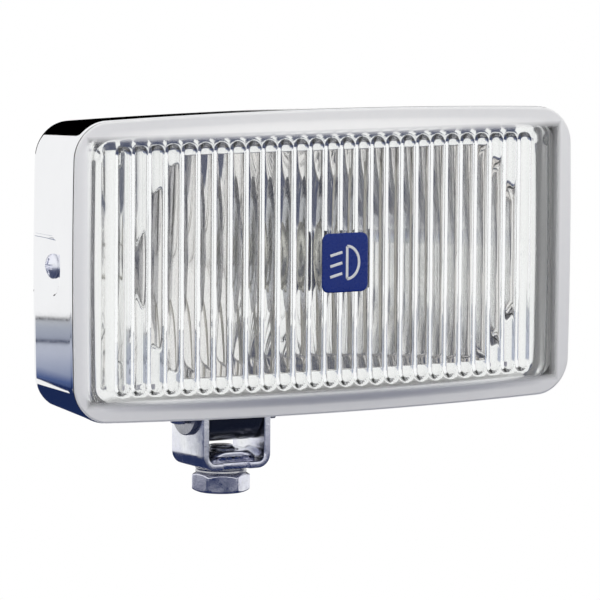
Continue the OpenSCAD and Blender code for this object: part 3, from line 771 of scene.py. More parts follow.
def build_lens():
    """The lens as two sheets over a rounded outline, joined round their edge.

    The front's depth is a shallow cylinder on the pane and a sloping band round it; the back follows
    the cylinder one glass thickness behind, with the flutes added, and is flat under the band. The
    outermost part of the band is thin and lies on the case's lip."""
    case, lens = settings("case"), settings("lens")
    x = lens_columns(lens)
    corner_x = RIM_W / 2 - RIM_CORNER
    over = np.maximum(np.abs(x) - corner_x, 0)
    half_h = RIM_H / 2 - RIM_CORNER + np.sqrt(np.maximum(RIM_CORNER ** 2 - over ** 2, 0))
    bow = case.bow_long * (1 - (2 * x / RIM_W) ** 2)
    v = lens_rows()
    z = v[:, None] * (half_h + bow)[None, :]
    xx = np.repeat(x[None, :], len(v), 0)
    bulge = case.bow_short * (1 - (2 * z / RIM_H) ** 2)
    xx = xx + np.sign(xx) * bulge * smooth((np.abs(xx) - 80 * MM) / (8 * MM))
    crown = -lens.rise + xx ** 2 / (2 * lens.curve)
    pane = box_distance(xx, z, PANE_W, PANE_H, PANE_CORNER, case.bow_short, case.bow_long)
    rim = box_distance(xx, z, RIM_W, RIM_H, RIM_CORNER, case.bow_short, case.bow_long)
    band = -1.2 * MM - 0.3 * MM * smooth(rim / (0.6 * MM)) - 0.15 * MM * smooth(rim / (6 * MM))
    step = smooth(pane / (4.5 * MM) + 0.1)
    front = band * (1 - step) + crown * step
    inner = crown + lens.glass + flute_height(xx, z, lens) + peg_height(xx, z)
    tray = smooth((pane - 0.6 * MM) / (1.6 * MM))
    plug = smooth((rim - 1.65 * MM) / (0.3 * MM))
    under = -MM + 5 * MM * plug
    back = under * (1 - tray) + inner * tray
    sheets = [np.stack([xx, FRONT_Y + t, LAMP_Z + z], -1) for t in (front, back)]
    rows, cols = xx.shape
    count = rows * cols
    faces = [f[::-1] for f in grid_faces(rows, cols)] + grid_faces(rows, cols, start=count)
    index = np.arange(count).reshape(rows, cols)
    edge = np.concatenate([index[0, :-1], index[:-1, -1], index[-1, :0:-1], index[:0:-1, 0]])
    after = np.roll(edge, -1)
    faces += np.stack([edge, edge + count, after + count, after], -1).tolist()
    shell = outward(np.concatenate([s.reshape(-1, 3) for s in sheets]), faces)
    return new_piece("lens_glass", shell, "lens_glass", "lamp", ["lens"])


def build_seal():
    """The rubber seal: a flat bead with a round outer edge, carried round between the lip and the glass."""
    case = settings("case")
    section = np.array([
        (0.5, -0.03), (0.36, -0.1), (0.3, -0.5), (0.36, -0.9),
        (0.5, -0.98), (0.84, -0.98), (0.84, -0.02), (0.7, -0.015)
    ]) * MM
    rings = []
    for inset, depth in section:
        p = outline(case.width - 2 * inset, case.height - 2 * inset, case.corner - inset,
                    case.bow_short, case.bow_long)
        rings.append(at_depth(p, depth))
    return new_piece("lens_seal", skin(rings, closed=True), "black_rubber", "lamp", ["lens_gasket"])


def build_badge():
    """A rounded enamel plate with a soft edge, and a plain lamp-and-beams sign standing on it."""
    lo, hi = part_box("lens_badge")
    mid = (lo + hi) / 2
    w, h = hi.x - lo.x, hi.z - lo.z
    thick = hi.y - lo.y
    rings = []
    for inset, rise in ((0, 0), (0, 0.5), (0.06, 0.75), (0.2, 0.93), (0.45, 1), (3, 1), (7, 1)):
        p = outline(w - 2 * inset * MM, h - 2 * inset * MM, max(2.5 - inset, 0.4) * MM,
                    long_nodes=np.linspace(-1, 1, 17), short_nodes=np.linspace(-1, 1, 17), arc=8)
        rings.append(np.stack([mid.x + p[:, 0], np.full(len(p), hi.y - thick * rise), mid.z + p[:, 1]], -1))
    new_piece("badge_plate", skin(rings), "badge_blue", "lamp", ["lens_badge"])
    face_y = lo.y

    def stroke(path, width=0.9 * MM):
        """A flat raised stroke along a path in the badge's plane."""
        path = np.array(path, float) * MM
        along = np.gradient(path, axis=0)
        along /= np.linalg.norm(along, axis=1)[:, None]
        side = np.stack([-along[:, 1], along[:, 0]], -1) * width / 2
        tall = 0.09 * MM
        corners = [(-1, 0.02), (-1, -0.7), (-0.75, -1), (0.75, -1), (1, -0.7), (1, 0.02)]
        section = [
            np.stack([mid.x + (path + side * a)[:, 0], np.full(len(path), face_y + tall * b),
                      mid.z + (path + side * a)[:, 1]], -1)
            for a, b in corners
        ]
        return skin(np.stack(section, 1))

    bowl = [(0.6 + 4.4 * math.cos(t), 5.2 * math.sin(t)) for t in np.linspace(-math.pi / 2, math.pi / 2, 25)]
    bowl = [(0.6, -5.2), *bowl[1:-1], (0.6, 5.2)]
    shells = [stroke(bowl), stroke([(0.6, z) for z in np.linspace(-5.2, 5.2, 17)])]
    t = np.linspace(0, 1, 12)
    for z in (-3.4, 0, 3.4):
        shells.append(stroke([(-1.2 - 4.4 * k, z - 1.1 * k) for k in t]))
    white = enamel_material("badge_sign_enamel", (0.86, 0.87, 0.88))
    new_piece("badge_sign", join_shells(*shells), "badge_blue", "lamp", material=white)


# ---------------------------------------------------------------- mirror and bulb

def build_mirror():
    """The reflector as one closed sheet, worked out along rays from its axis.

    From the bulb hole the depth is vertex - r^2 / 4f out to the opening, which is an ellipse cut off
    flat above and below. A wall then runs forward to the flange."""
    case, mirror = settings("case"), settings("mirror")
    flange = 5 * MM
    vertex = 58.2 * MM
    a = round_angles(288)
    wide, high, shift = 71 * MM, 57 * MM, 4 * MM
    square = (np.cos(a) / wide) ** 2 + (np.sin(a) / high) ** 2
    linear = shift * np.cos(a) / wide ** 2
    round_edge = (linear + np.sqrt(linear ** 2 + square * (1 - (shift / wide) ** 2))) / square
    flat_edge = mirror.opening / np.maximum(np.abs(np.sin(a)), 1e-6)
    edge = soft_least(round_edge, flat_edge, 0.9 * MM)
    sheet = mirror.sheet

    def ring(rho, depth):
        return np.stack([rho * np.cos(a), FRONT_Y + depth, LAMP_Z + rho * np.sin(a)], -1)

    def bowl(rho):
        return vertex - rho ** 2 / (4 * mirror.focal)

    half_w, half_h = RIM_W / 2 - 2 * MM, RIM_H / 2 - 2 * MM
    power = 9
    rim = (np.abs(np.cos(a) / half_w) ** power + np.abs(np.sin(a) / half_h) ** power) ** (-1 / power)
    rings = []
    for k in np.linspace(0, 1, 44):
        rho = mirror.bulb_hole + (edge - mirror.bulb_hole) * k
        rings.append(ring(rho, bowl(rho)))
    wall_from = bowl(edge)
    for k in (0.06, 0.25, 0.5, 0.75, 0.92, 1.0):
        rings.append(ring(edge, wall_from + (flange - wall_from) * k))
    rings += [ring(edge + (rim - edge) * k, np.full_like(a, flange)) for k in (0.03, 0.3, 0.7, 0.99, 1.0)]
    rings += [ring(rim, np.full_like(a, flange + sheet)), ring(rim * 0.99, np.full_like(a, flange + sheet))]
    outside = edge + sheet
    outside_from = np.maximum(bowl(outside) + sheet, flange + sheet)
    for k in (1.0, 0.75, 0.25, 0.0):
        rings.append(ring(outside, outside_from + (flange + sheet - outside_from) * k))
    for k in np.linspace(1, 0, 14)[1:]:
        rho = mirror.bulb_hole + (outside - mirror.bulb_hole) * k
        rings.append(ring(rho, np.maximum(bowl(rho) + sheet, flange + sheet)))
    return new_piece("mirror_bowl", skin(rings, closed=True), "reflector_silver", "lamp", ["reflector"])


def build_bulb_shield():
    """The cap in front of the bulb: a dished disc turned from a rounded profile, and its carrying leg."""
    lo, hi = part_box("bulb_shield")
    front = lo.y
    profile = rounded_profile(
        np.array([(0.02, 0), (6, 0.6), (9, 2.2), (11, 4.4), (10, 4.4), (8.2, 3.1), (6, 1.7), (0.02, 1)]) * MM,
        np.array([8, 4, 0.4, 0.4, 4, 8]) * MM, 5
    )
    cap = turned(profile, 96)
    cap = placed(cap, (0, front, LAMP_Z), (0, 1, 0))
    path = rounded_profile(
        np.array([(front + 3.4 * MM, -11 * MM), (hi.y - 0.5 * MM, -11 * MM), (hi.y - 0.5 * MM, -14.2 * MM)]),
        [1.4 * MM], 6
    )
    along = np.gradient(path, axis=0)
    along /= np.linalg.norm(along, axis=1)[:, None]
    across = np.stack([-along[:, 1], along[:, 0]], -1)
    section = outline(6 * MM, 0.8 * MM, 0.3 * MM, long_nodes=np.linspace(-1, 1, 7),
                      short_nodes=np.linspace(-1, 1, 2), arc=4)
    leg = np.stack([
        np.stack([section[:, 0], p[0] + section[:, 1] * n[0], LAMP_Z + p[1] + section[:, 1] * n[1]], -1)
        for p, n in zip(path, across)
    ])
    return new_piece("bulb_cap", join_shells(skin(cap), skin(leg)), "bulb_metal", "lamp", ["bulb_shield"])


# ---------------------------------------------------------------- fasteners

def build_side_screw(side):
    """Pan-head screw seen from its head: a dome of rings pressed down by a cross-shaped recess."""
    name = "side_screw_left" if side < 0 else "side_screw_right"
    lo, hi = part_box(name)
    head, tall = 3.9 * MM, 2.4 * MM
    rho = np.concatenate([np.linspace(0.02, 3.3, 34), 3.35 + 0.55 * np.sin(np.linspace(0.1, 1.57, 9))]) * MM
    a = round_angles(144)
    r, t = np.meshgrid(rho, a, indexing="ij")
    x, y = r * np.cos(t), r * np.sin(t)
    edge = 0.5 * MM
    fall = np.maximum(0, 1 - (r / head) ** 2)
    dome = edge + (tall - edge) * (0.55 * fall + 0.45 * np.sqrt(fall))
    arm, slot, soft = 2.3 * MM, 0.55 * MM, 0.22 * MM
    bar_x = smooth((slot - np.abs(y)) / soft + 0.5) * smooth((arm - np.abs(x)) / (2.4 * soft) + 0.5)
    bar_y = smooth((slot - np.abs(x)) / soft + 0.5) * smooth((arm - np.abs(y)) / (2.4 * soft) + 0.5)
    cut = np.maximum(bar_x, bar_y) * (1.5 * MM) * np.clip(1.25 - r / arm, 0.35, 1)
    top = np.stack([x, y, dome - cut], -1)[::-1]
    under = turned(np.array([
        (1.5, -9), (2.0, -8.6), (2.0, -0.2), (2.2, 0), (3.6, 0), (3.85, 0.1), (3.9, 0.3)
    ]) * MM, len(a))
    rings = np.concatenate([under, top])
    centre = (side * RECESS_FLOOR, (lo.y + hi.y) / 2, (lo.z + hi.z) / 2)
    piece = name.replace("side", "case")
    return new_piece(piece, skin(placed(rings, centre, (side, 0, 0))), "zinc_plate", "lamp", [name],
                     zinc_material(piece + "_plating", 1.1, 0.16))


def threaded_shank(heights, count, radius, pitch, depth, share, tip):
    """A bolt's shank: its radius less the thread, depth (1 - |2 phase - 1|) times the share at each
    height, and less the chamfer of its tip."""
    zz, aa = np.meshgrid(heights, round_angles(count), indexing="ij")
    phase = (zz / pitch - aa / (2 * math.pi)) % 1
    ridges = depth * (1 - np.abs(2 * phase - 1)) * share[:, None]
    chamfer = tip * smooth((zz - heights[-1] + tip) / tip)
    return around(radius - ridges - chamfer, aa, zz)


def build_mounting_bolt():
    """Hexagon head and threaded shank of the bolt under the bracket."""
    lo, hi = HEAD_LO, HEAD_HI
    flats = settings("yoke").bolt
    thick = 6.4 * MM
    head = hexagon_head(flats, thick, 1.25 * MM, 0.25 * MM)
    turn = np.array(Matrix.Rotation(math.radians(5), 3, "Z"))
    head = (head * (1, 1, -1)) @ turn.T + (0, 0, lo.z + thick)
    z = np.linspace(lo.z + thick - 0.5 * MM, hi.z, 150)
    share = smooth((hi.z - z) / (2 * MM) + 0.2)
    shank = threaded_shank(z, 48, 4.98 * MM, 1.5 * MM, 0.55 * MM, share, 1 * MM)
    return new_piece("mount_hex_bolt", join_shells(skin(head), skin(shank)), "zinc_plate", "mount",
                     ["mounting_bolt"])


def split_ring(inner, outer, low, high, gap):
    """A split ring: a rounded section with a groove, carried round the axis from one side of a gap
    to the other."""
    a0 = gap / 2 / inner
    a = np.linspace(a0, 2 * math.pi - a0, 120)[:, None]
    mid = (low + high) / 2
    half = (high - low) / 2
    groove = 0.16 * MM
    r, z = np.array([
        (inner, -half + 0.2 * MM), (inner + 0.2 * MM, -half), (outer - 0.35 * MM, -half),
        (outer - 0.08 * MM, -half + 0.22 * MM), (outer, -half * 0.5), (outer - groove, -0.12 * MM),
        (outer - groove, 0.12 * MM), (outer, half * 0.5), (outer - 0.08 * MM, half - 0.22 * MM),
        (outer - 0.35 * MM, half), (inner + 0.2 * MM, half), (inner, half - 0.2 * MM),
    ]).T
    return skin(around(r, a, mid + z))


def build_mounting_washer():
    """The split lock washer under the bracket."""
    lo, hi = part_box("lock_washer")
    ring = split_ring(5.15 * MM, 8.6 * MM, lo.z, hi.z, 1.2 * MM)
    return new_piece("mount_split_washer", ring, "plain_steel", "mount", ["lock_washer"])


def build_square_nut():
    """Square nut: at each height the radius is the smaller of a rounded square's and of a cone's."""
    lo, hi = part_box("square_nut")
    half, thick, bore = 8.5 * MM, hi.z - lo.z, 5.05 * MM
    a = round_angles(160)
    square = half * (np.abs(np.cos(a)) ** 40 + np.abs(np.sin(a)) ** 40) ** (-1 / 40)
    slope, soft, turn_in = 1.6 * MM, 0.3 * MM, 0.12 * MM
    from_low = np.array([0.0, 0.1, 0.3]) * MM
    from_top = thick - np.array([1.7, 1.2, 0.8, 0.4, 0.15, 0.0]) * MM
    rings = []
    for up in (*from_low, thick / 2, *from_top):
        cone = half * (1.36 - 0.3 * max(0, up - thick + slope) / slope)
        r = soft_least(square, cone, 0.1 * MM)
        r = r - turn_in * smooth(1 - up / soft) - turn_in * smooth((up - thick + soft) / soft)
        rings.append(around(r, a, lo.z + up))
    rings += [around(r * k, a, hi.z - drop * MM) for k, drop in ((0.85, 0), (0.72, 0), (0.64, 0.05))]
    rings += [around(bore + wide * MM, a, z) for wide, z in (
        (0.7, hi.z), (0, hi.z - 0.6 * MM), (0, lo.z + 0.4 * MM), (0.3, lo.z)
    )]
    return new_piece("yoke_square_nut", skin(rings, closed=True), "zinc_plate", "yoke", ["square_nut"])


def build_tilt_fasteners():
    """Bolt, plain washer, split washer and nut on the tilt axis, each turned or ringed about +X."""
    axis = (1, 0, 0)
    lo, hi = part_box("tilt_bolt")
    head = hexagon_head(10 * MM, 4 * MM, 1.1 * MM, 0.15 * MM)
    head = placed(head * (1, 1, -1), (lo.x + 4 * MM, 0, TILT_Z), axis)
    long = hi.x - lo.x - 3 * MM
    z = np.linspace(0, long, 260)
    shank = threaded_shank(z, 40, 2.98 * MM, 1 * MM, 0.35 * MM, smooth((z - 14 * MM) / MM), 0.9 * MM)
    shank = placed(shank, (lo.x + 3 * MM, 0, TILT_Z), axis)
    new_piece("tilt_hex_bolt", join_shells(skin(head), skin(shank)), "zinc_plate", "yoke", ["tilt_bolt"])
    lo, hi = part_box("tilt_washer")
    thick = hi.x - lo.x
    profile = rounded_profile(
        np.array([(3.2, 0.8), (3.2, 0), (9, 0), (9, 1.6), (3.2, 1.6), (3.2, 0.8)]) * MM,
        np.array([0.15, 0.35, 0.35, 0.15]) * MM, 5
    )[:-1]
    profile[:, 1] *= thick / (1.6 * MM)
    disc = skin(placed(turned(profile, 120), (lo.x, 0, TILT_Z), axis), closed=True)
    new_piece("tilt_disc", disc, "zinc_plate", "yoke", ["tilt_washer"],
              zinc_material("disc_plating", 0.5, 0.1))
    lo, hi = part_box("tilt_lock_washer")
    points, faces = split_ring(3.1 * MM, 5.9 * MM, 0, hi.x - lo.x, 0.8 * MM)
    ring = placed(points, (lo.x, 0, TILT_Z), axis), faces
    new_piece("tilt_split_washer", ring, "plain_steel", "yoke", ["tilt_lock_washer"])
    lo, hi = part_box("tilt_nut")
    thick, wide, bore = hi.x - lo.x, 3.5 * MM, 3.02 * MM
    outer = hexagon_head(10 * MM, thick, 0.7 * MM)[3:-5]
    inner = [around(r, hexagon_angles(), h)
             for r, h in ((wide, thick), (bore, thick - 0.5 * MM), (bore, 0.5 * MM), (wide, 0))]
    rings = placed(np.concatenate([outer, inner]), (lo.x, 0, TILT_Z), axis)
    new_piece("tilt_hex_nut", skin(rings, closed=True), "plain_steel", "yoke", ["tilt_nut"])


# ---------------------------------------------------------------- bracket and foot

def build_bracket():
    """The U-shaped bracket: a rounded strip carried down one ear, along the base and up the other.

    The strip's half width follows the ear's round top, sqrt(R^2 - (z - tilt axis)^2), and its front
    edge steps back across a notch in the middle of the base."""
    yoke = settings("yoke")
    half_w, half_d, top = YOKE_HI
    t, bend = yoke.sheet, yoke.bend
    mid = half_w - t / 2
    path = rounded_profile(
        np.array([(-mid, top), (-mid, t / 2), (mid, t / 2), (mid, top)]),
        np.array([bend - t / 2] * 2), 12
    )
    lengths = np.concatenate([[0], np.cumsum(np.linalg.norm(np.diff(path, axis=0), axis=1))])
    total = lengths[-1]
    ear = top - TILT_Z
    tip = 1 - np.cos(np.linspace(0.03, math.pi / 2, 20))
    s = np.concatenate([tip * ear, np.linspace(ear, total / 2 - 6.5 * MM, 28)[1:],
                        total / 2 + np.linspace(-6, -4, 10) * MM, [total / 2 - 2 * MM, total / 2]])
    s = np.concatenate([s, total - s[-2::-1]])
    px = np.interp(s, lengths, path[:, 0])
    pz = np.interp(s, lengths, path[:, 1])
    along = np.stack([np.gradient(px, s), np.gradient(pz, s)], -1)
    along /= np.linalg.norm(along, axis=1)[:, None]
    normal = np.stack([-along[:, 1], along[:, 0]], -1)
    reach = np.where(pz > TILT_Z, np.sqrt(np.maximum(ear ** 2 - (pz - TILT_Z) ** 2, (0.2 * MM) ** 2)), half_d)
    notch = 1.4 * MM * smooth((5.2 * MM - np.abs(px)) / (0.7 * MM)) * (pz < t)
    edge = 0.5 * MM
    corners = [(-1, -1), (1, -1), (1, 1), (-1, 1)]
    section = []
    for k, (cy, cn) in enumerate(corners):
        start = math.pi * (1 + k / 2)
        for q in np.linspace(0, math.pi / 2, 6):
            section.append((cy, cn, math.cos(start + q), math.sin(start + q)))
    rings = []
    for k in range(len(s)):
        r = min(edge, reach[k] * 0.5)
        front, back = -reach[k] + notch[k], reach[k]
        ring = []
        for cy, cn, ey, en in section:
            y = (back - r if cy > 0 else front + r) + r * ey
            n = (t / 2 - r) * cn + r * en
            ring.append((px[k] + normal[k, 0] * n, y, pz[k] + normal[k, 1] * n))
        rings.append(ring)
    return new_piece("yoke_bracket", skin(rings), "zinc_plate", "yoke", ["bracket"])


def rounded_block(w, d, low, high, corner, edge):
    """A plate with round corners in plan and soft edges above and below."""
    rings = []
    for a in np.linspace(0, math.pi / 2, 6):
        i = edge * (1 - math.sin(a))
        rings.append((i, low + edge * (1 - math.cos(a))))
    rings += [(i, high - (z - low)) for i, z in rings[::-1]]
    made = []
    for inset, z in rings:
        p = outline(w - 2 * inset, d - 2 * inset, corner - inset * 0.9, arc=10,
                    long_nodes=np.linspace(-1, 1, 9), short_nodes=np.linspace(-1, 1, 9))
        made.append(np.stack([p[:, 0], p[:, 1], np.full(len(p), z)], -1))
    return skin(made)


def build_foot():
    """The foot: a plate under the case and a nose below it, whose section is a circle about the tilt
    axis with flanks running up and flaring into the plate, carried across with soft edges."""
    lo, hi = NOSE_LO, NOSE_HI
    nose = TILT_Z - lo.z
    half_w = 10.2 * MM
    plate_t = 2.6 * MM
    top = hi.z - plate_t + 0.4 * MM
    a = np.linspace(math.pi, 2 * math.pi, 49)
    arc = np.stack([nose * np.cos(a), TILT_Z + nose * np.sin(a)], -1)
    z = np.linspace(0, 1, 15)[1:]
    flank = nose + 0.35 * MM * (z ** 6 - np.sin(z * math.pi))
    flare = np.stack([flank, TILT_Z + (top - TILT_Z) * z], -1)
    section = np.concatenate([flare[::-1] * (-1, 1), arc, flare])
    rings = []
    edge = 1.3 * MM
    steps = np.linspace(0, math.pi / 2, 8)
    ends = [(edge * (1 - math.sin(t)), -half_w + edge * (1 - math.cos(t))) for t in steps]
    stations = ends + [(0, x) for x in (-0.6 * half_w, 0, 0.6 * half_w)] + [(i, -x) for i, x in ends[::-1]]
    middle_z = (TILT_Z + top) / 2
    for inset, x in stations:
        k = 1 - inset / nose
        zs = np.where(section[:, 1] > middle_z, section[:, 1], TILT_Z + (section[:, 1] - TILT_Z) * k)
        rings.append(np.stack([np.full(len(section), x), section[:, 0] * k, zs], -1))
    plate = rounded_block(hi.x - lo.x, hi.y - lo.y, hi.z - plate_t, hi.z, 4 * MM, 0.8 * MM)
    return new_piece("foot_block", join_shells(skin(rings), plate), "black_paint", "lamp", ["mounting_foot"])


def build_rear_rubbers():
    """The cable sleeve and the breather cap, turned about axes that point to the rear."""
    lo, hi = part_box("cable_grommet")
    centre = ((lo.x + hi.x) / 2, 0, (lo.z + hi.z) / 2)
    back = FRONT_Y + settings("case").bulge_depth
    wall = settings("case").wall
    rows = np.array([
        (3.0, back - wall - 2 * MM), (7.6, back - wall - 2 * MM), (7.6, back - wall), (6.0, back - wall),
        (6.0, back), (8.0, back), (8.0, back + 1.9 * MM), (5.2, back + 2.6 * MM), (4.7, back + 4 * MM),
        (3.0, back + 4 * MM)
    ]) * (MM, 1)
    rows = np.concatenate([rows, rows[:1]])
    profile = rounded_profile(rows, np.array([0.4, 0.2, 0.2, 0.2, 0.5, 0.8, 0.8, 0.5, 0.5]) * MM, 4)[:-1]
    sleeve = skin(placed(turned(profile, 80), centre, (0, 1, 0)), closed=True)
    new_piece("cable_sleeve", sleeve, "black_rubber", "lamp", ["cable_grommet"])
    lo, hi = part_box("breather_plug")
    centre = ((lo.x + hi.x) / 2, 0, (lo.z + hi.z) / 2)
    rows = np.array([
        (0.02, lo.y), (3.8, back - wall - 1 * MM), (3.8, back - wall), (3.0, back - wall), (3.0, back),
        (5.0, back), (5.0, back + 1.2 * MM), (3.0, back + 2 * MM), (0.02, back + 2 * MM)
    ]) * (MM, 1)
    profile = rounded_profile(rows, np.array([0.3, 0.2, 0.2, 0.2, 0.3, 0.5, 0.6]) * MM, 4)
    cap = skin(placed(turned(profile, 64), centre, (0, 1, 0)))
    new_piece("breather_cap", cap, "black_rubber", "lamp", ["breather_plug"])


# ---------------------------------------------------------------- stage

def stage_sheet(name, points, faces, glow=None, seen=False):
    """A plain sheet of the studio with its own brightness: a glow, or else the tone of its points."""
    mesh = bpy.data.meshes.new(name)
    mesh.from_pydata(points, [], faces)
    sheet = bpy.data.objects.new(name, mesh)
    bpy.context.scene.collection.objects.link(sheet)
    s = Shader(name + "_surface", Base_Color=(0, 0, 0), Roughness=1.0, Specular_IOR_Level=0.0)
    if glow is None:
        glow = s.node("ShaderNodeAttribute", {"attribute_name": "tone"}, out="Color")
    s.set(Emission_Color=glow, Emission_Strength=1.0)
    mesh.materials.append(s.material)
    sheet.visible_camera = seen
    sheet.visible_shadow = False
    return mesh


def direction(azimuth, elevation):
    """Unit vector at an angle from +Y, turning to +X, and at a height above the horizon, in degrees."""
    a, e = math.radians(azimuth), math.radians(elevation)
    return Vector((math.sin(a) * math.cos(e), math.cos(a) * math.cos(e), math.sin(e)))


def card(name, azimuths, elevations, glow, distance=2.4):
    """A card far out on the studio's wall, between two angles from +Y and two heights."""
    (left, right), (low, high) = azimuths, elevations
    corners = [
        Vector((0, FRONT_Y, LAMP_Z)) + direction(a, e) * distance
        for a, e in ((left, low), (right, low), (right, high), (left, high))
    ]
    stage_sheet(name, corners, [(0, 1, 2, 3)], glow)


def floor_card(name, centre, rings, tones, angles, z):
    """A round card on the floor between two angles from +X, in degrees, its tone changing outwards."""
    a = np.radians(np.linspace(*angles, 61))
    points = around(np.array(rings)[:, None], a, 0) + (*centre, z)
    mesh = stage_sheet(name, points.reshape(-1, 3), grid_faces(len(rings), len(a)))
    shades = mesh.color_attributes.new("tone", "FLOAT_COLOR", "POINT")
    values = np.repeat(np.array([(*t, 1) for t in tones]), len(a), 0)
    shades.data.foreach_set("color", values.ravel())


def build_stage():
    """A bright seamless floor, soft even light, dark cards for the chrome to mirror, and the camera."""
    stage = settings("stage")
    scene = bpy.context.scene
    world = bpy.data.worlds.new("soft_room")
    scene.world = world
    world.use_nodes = True
    background = world.node_tree.nodes["Background"]
    background.inputs["Color"].default_value = (1, 1, 1, 1)
    background.inputs["Strength"].default_value = stage.brightness
    scene.view_settings.view_transform = "Standard"
    scene.cycles.max_bounces = 20
    scene.cycles.glossy_bounces = 10
    scene.cycles.transmission_bounces = 16
    floor_z = HEAD_LO.z - 33 * MM
    far = 6.0
    corners = [(x * far, y * far, floor_z) for x, y in ((-1, -1), (1, -1), (1, 1), (-1, 1))]
    stage_sheet("floor", corners, [(0, 1, 2, 3)], (1, 1, 1), seen=True)
    card("card_black_back", (-8, 62), (-0.6, 31), (0.0, 0.0, 0.0))
    card("card_grey_back_low", (2, 25), (-8.5, -3.2), (0.18, 0.18, 0.19), 3.0)
    card("card_violet_right", (62, 118), (-14, 10), (0.20, 0.20, 0.26))
    navy, dark_line, grey_line = (0.012, 0.024, 0.085), (0.05, 0.06, 0.10), (0.06, 0.06, 0.07)
    under_side = (CASE_LO.x, FRONT_Y + 14 * MM)
    floor_tones = (
        (0.001, navy), (0.40, (0.014, 0.028, 0.10)), (0.50, (0.08, 0.12, 0.27)), (0.60, (0.34, 0.38, 0.50)),
        (0.66, (0.48, 0.51, 0.61)), (0.70, (0.50, 0.53, 0.62)), (0.708, dark_line), (0.716, dark_line),
        (0.724, (0.34, 0.37, 0.46)), (0.78, (0.40, 0.43, 0.50)), (0.815, (0.50, 0.52, 0.56)),
        (0.82, grey_line), (0.828, grey_line), (0.84, (1, 1, 1)),
    )
    floor_card("card_floor_back", under_side, *zip(*floor_tones), (110.5, 270), floor_z + 1 * MM)
    floor_card("card_floor_under", under_side, (0.001, 0.25), (navy, navy), (0, 360), floor_z + 2 * MM)
    floor_card("card_floor_front", (0, 0), (0.001, 0.38, 0.46), (navy, (0.02, 0.035, 0.10), (1, 1, 1)),
                     (200, 360), floor_z + 1 * MM)

    a, e = stage.azimuth, stage.elevation
    middle = Vector((0, FRONT_Y, LAMP_Z))
    back = Vector((-math.sin(a) * math.cos(e), -math.cos(a) * math.cos(e), math.sin(e)))
    right = Vector((math.cos(a), -math.sin(a), 0))
    up = back.cross(right)
    right_rolled = math.cos(stage.roll) * right + math.sin(stage.roll) * up
    up_rolled = -math.sin(stage.roll) * right + math.cos(stage.roll) * up
    left_of_middle, below_middle = 0.00543, 0.00773
    aim = middle - (left_of_middle * right_rolled + below_middle * up_rolled) * stage.distance
    place = middle + back * stage.distance
    toward = (aim - place).normalized()
    x_axis = toward.cross(up_rolled).normalized()
    y_axis = x_axis.cross(toward)
    turn = Matrix((x_axis, y_axis, -toward)).transposed()
    lens = bpy.data.cameras.new("camera")
    lens.lens = stage.focal / MM
    lens.sensor_width = 36
    lens.clip_start = 0.05
    lens.clip_end = 50
    camera = bpy.data.objects.new("camera", lens)
    scene.collection.objects.link(camera)
    camera.matrix_world = Matrix.Translation(place) @ turn.to_4x4()
    scene.camera = camera


# ---------------------------------------------------------------- operators

CARRIED = {
    "bulb_holder": "plain_steel",
    "bulb_base": "bulb_metal",
    "bulb_glass": "bulb_glass",
    "bulb_filament": "bulb_metal",
    "bulb_clip": "plain_steel",
    "bulb_lead": "lead_red",
    "terminal_block": "terminal_plastic",
    "terminal_screws": "brass",
    "side_clip_left": "plain_steel",
    "side_clip_right": "plain_steel",
    "foot_plate": "zinc_plate",
    "foot_screws": "zinc_plate",
}


class FOGLAMP_OT_stage(bpy.types.Operator):
    """Sets up the floor, the light and the camera"""

    bl_idname = "fog_lamp.stage"
    bl_label = "Stage"

    def execute(self, context):
        build_stage()
        return {"FINISHED"}


class FOGLAMP_OT_case(bpy.types.Operator):
    """Builds the chromed case with its pressed sides and rear bulge"""

    bl_idname = "fog_lamp.case"
    bl_label = "Case"

    def execute(self, context):
        build_case()
        return {"FINISHED"}


class FOGLAMP_OT_lens(bpy.types.Operator):
    """Builds the fluted glass lens"""

    bl_idname = "fog_lamp.lens"
    bl_label = "Lens"

    def execute(self, context):
        build_lens()
        return {"FINISHED"}


class FOGLAMP_OT_seal(bpy.types.Operator):
    """Builds the rubber seal round the lens"""

    bl_idname = "fog_lamp.seal"
    bl_label = "Lens Seal"

    def execute(self, context):
        build_seal()
        return {"FINISHED"}


class FOGLAMP_OT_badge(bpy.types.Operator):
    """Builds the badge plate and its plain beam sign"""

    bl_idname = "fog_lamp.badge"
    bl_label = "Badge"

    def execute(self, context):
        build_badge()
        return {"FINISHED"}


class FOGLAMP_OT_mirror(bpy.types.Operator):
    """Builds the reflector"""

    bl_idname = "fog_lamp.mirror"
    bl_label = "Reflector"

    def execute(self, context):
        build_mirror()
        return {"FINISHED"}


class FOGLAMP_OT_bulb(bpy.types.Operator):
    """Builds the bulb's cap and finishes the bulb, its holder and the wiring"""

    bl_idname = "fog_lamp.bulb"
    bl_label = "Bulb and Wiring"

    def execute(self, context):
        build_bulb_shield()
        for node, slot in CARRIED.items():
            dress_node(node, slot)
        return {"FINISHED"}


class FOGLAMP_OT_side_screws(bpy.types.Operator):
    """Builds the two cross-head screws in the sides"""

    bl_idname = "fog_lamp.side_screws"
    bl_label = "Side Screws"

    def execute(self, context):
        build_side_screw(-1)
        build_side_screw(1)
        return {"FINISHED"}


class FOGLAMP_OT_rear_rubbers(bpy.types.Operator):
    """Builds the cable sleeve and the breather cap"""

    bl_idname = "fog_lamp.rear_rubbers"
    bl_label = "Rear Rubbers"

    def execute(self, context):
        build_rear_rubbers()
        return {"FINISHED"}


class FOGLAMP_OT_foot(bpy.types.Operator):
    """Builds the enamelled foot"""

    bl_idname = "fog_lamp.foot"
    bl_label = "Foot"

    def execute(self, context):
        build_foot()
        return {"FINISHED"}


class FOGLAMP_OT_bracket(bpy.types.Operator):
    """Builds the U-shaped bracket"""

    bl_idname = "fog_lamp.bracket"
    bl_label = "Bracket"

    def execute(self, context):
        build_bracket()
        return {"FINISHED"}


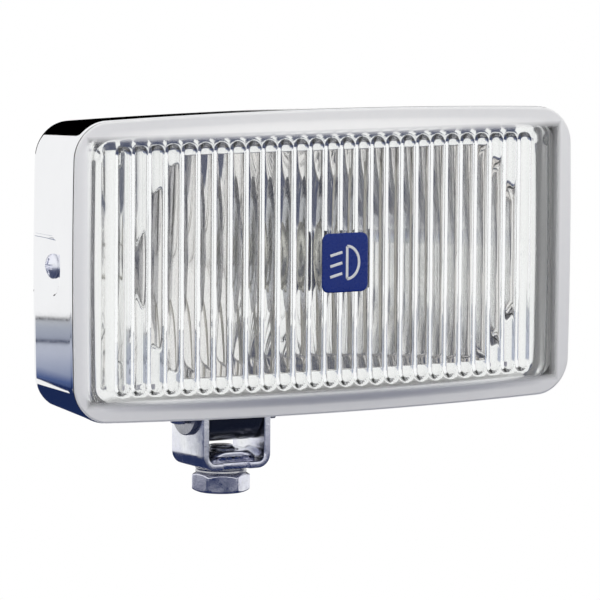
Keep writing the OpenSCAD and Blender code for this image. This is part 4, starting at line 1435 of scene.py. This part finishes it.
class FOGLAMP_OT_tilt_fasteners(bpy.types.Operator):
    """Builds the bolt, washers and nut on the tilt axis"""

    bl_idname = "fog_lamp.tilt_fasteners"
    bl_label = "Tilt Fasteners"

    def execute(self, context):
        build_tilt_fasteners()
        return {"FINISHED"}


class FOGLAMP_OT_mounting(bpy.types.Operator):
    """Builds the mounting bolt, its lock washer and the square nut"""

    bl_idname = "fog_lamp.mounting"
    bl_label = "Mounting Fasteners"

    def execute(self, context):
        build_square_nut()
        build_mounting_bolt()
        build_mounting_washer()
        return {"FINISHED"}


OPERATORS = (
    FOGLAMP_OT_stage, FOGLAMP_OT_case, FOGLAMP_OT_lens, FOGLAMP_OT_seal, FOGLAMP_OT_badge,
    FOGLAMP_OT_mirror, FOGLAMP_OT_bulb, FOGLAMP_OT_side_screws, FOGLAMP_OT_rear_rubbers,
    FOGLAMP_OT_foot, FOGLAMP_OT_bracket, FOGLAMP_OT_tilt_fasteners, FOGLAMP_OT_mounting,
)


class FOGLAMP_PT_panel(bpy.types.Panel):
    """Lists the lamp's pieces"""

    bl_idname = "FOGLAMP_PT_panel"
    bl_label = "Fog Lamp"
    bl_space_type = "VIEW_3D"
    bl_region_type = "UI"
    bl_category = "Fog Lamp"

    def draw(self, context):
        for group in SETTINGS:
            box = self.layout.box()
            for name in SETTINGS[group].__annotations__:
                box.prop(settings(group), name)
        for operator in OPERATORS:
            self.layout.operator(operator.bl_idname)


CLASSES = (*SETTINGS.values(), *OPERATORS, FOGLAMP_PT_panel)


def register():
    for one in CLASSES:
        bpy.utils.register_class(one)
    for group, kind in SETTINGS.items():
        setattr(bpy.types.Scene, "fog_lamp_" + group, PointerProperty(type=kind))


def unregister():
    for group in SETTINGS:
        delattr(bpy.types.Scene, "fog_lamp_" + group)
    for one in reversed(CLASSES):
        bpy.utils.unregister_class(one)


def main():
    """Builds everything in order."""
    register()
    for operator in OPERATORS:
        group, name = operator.bl_idname.split(".")
        if getattr(getattr(bpy.ops, group), name)() != {"FINISHED"}:
            raise RuntimeError(operator.bl_label + " was not finished")


if __name__ == "__main__":
    main()
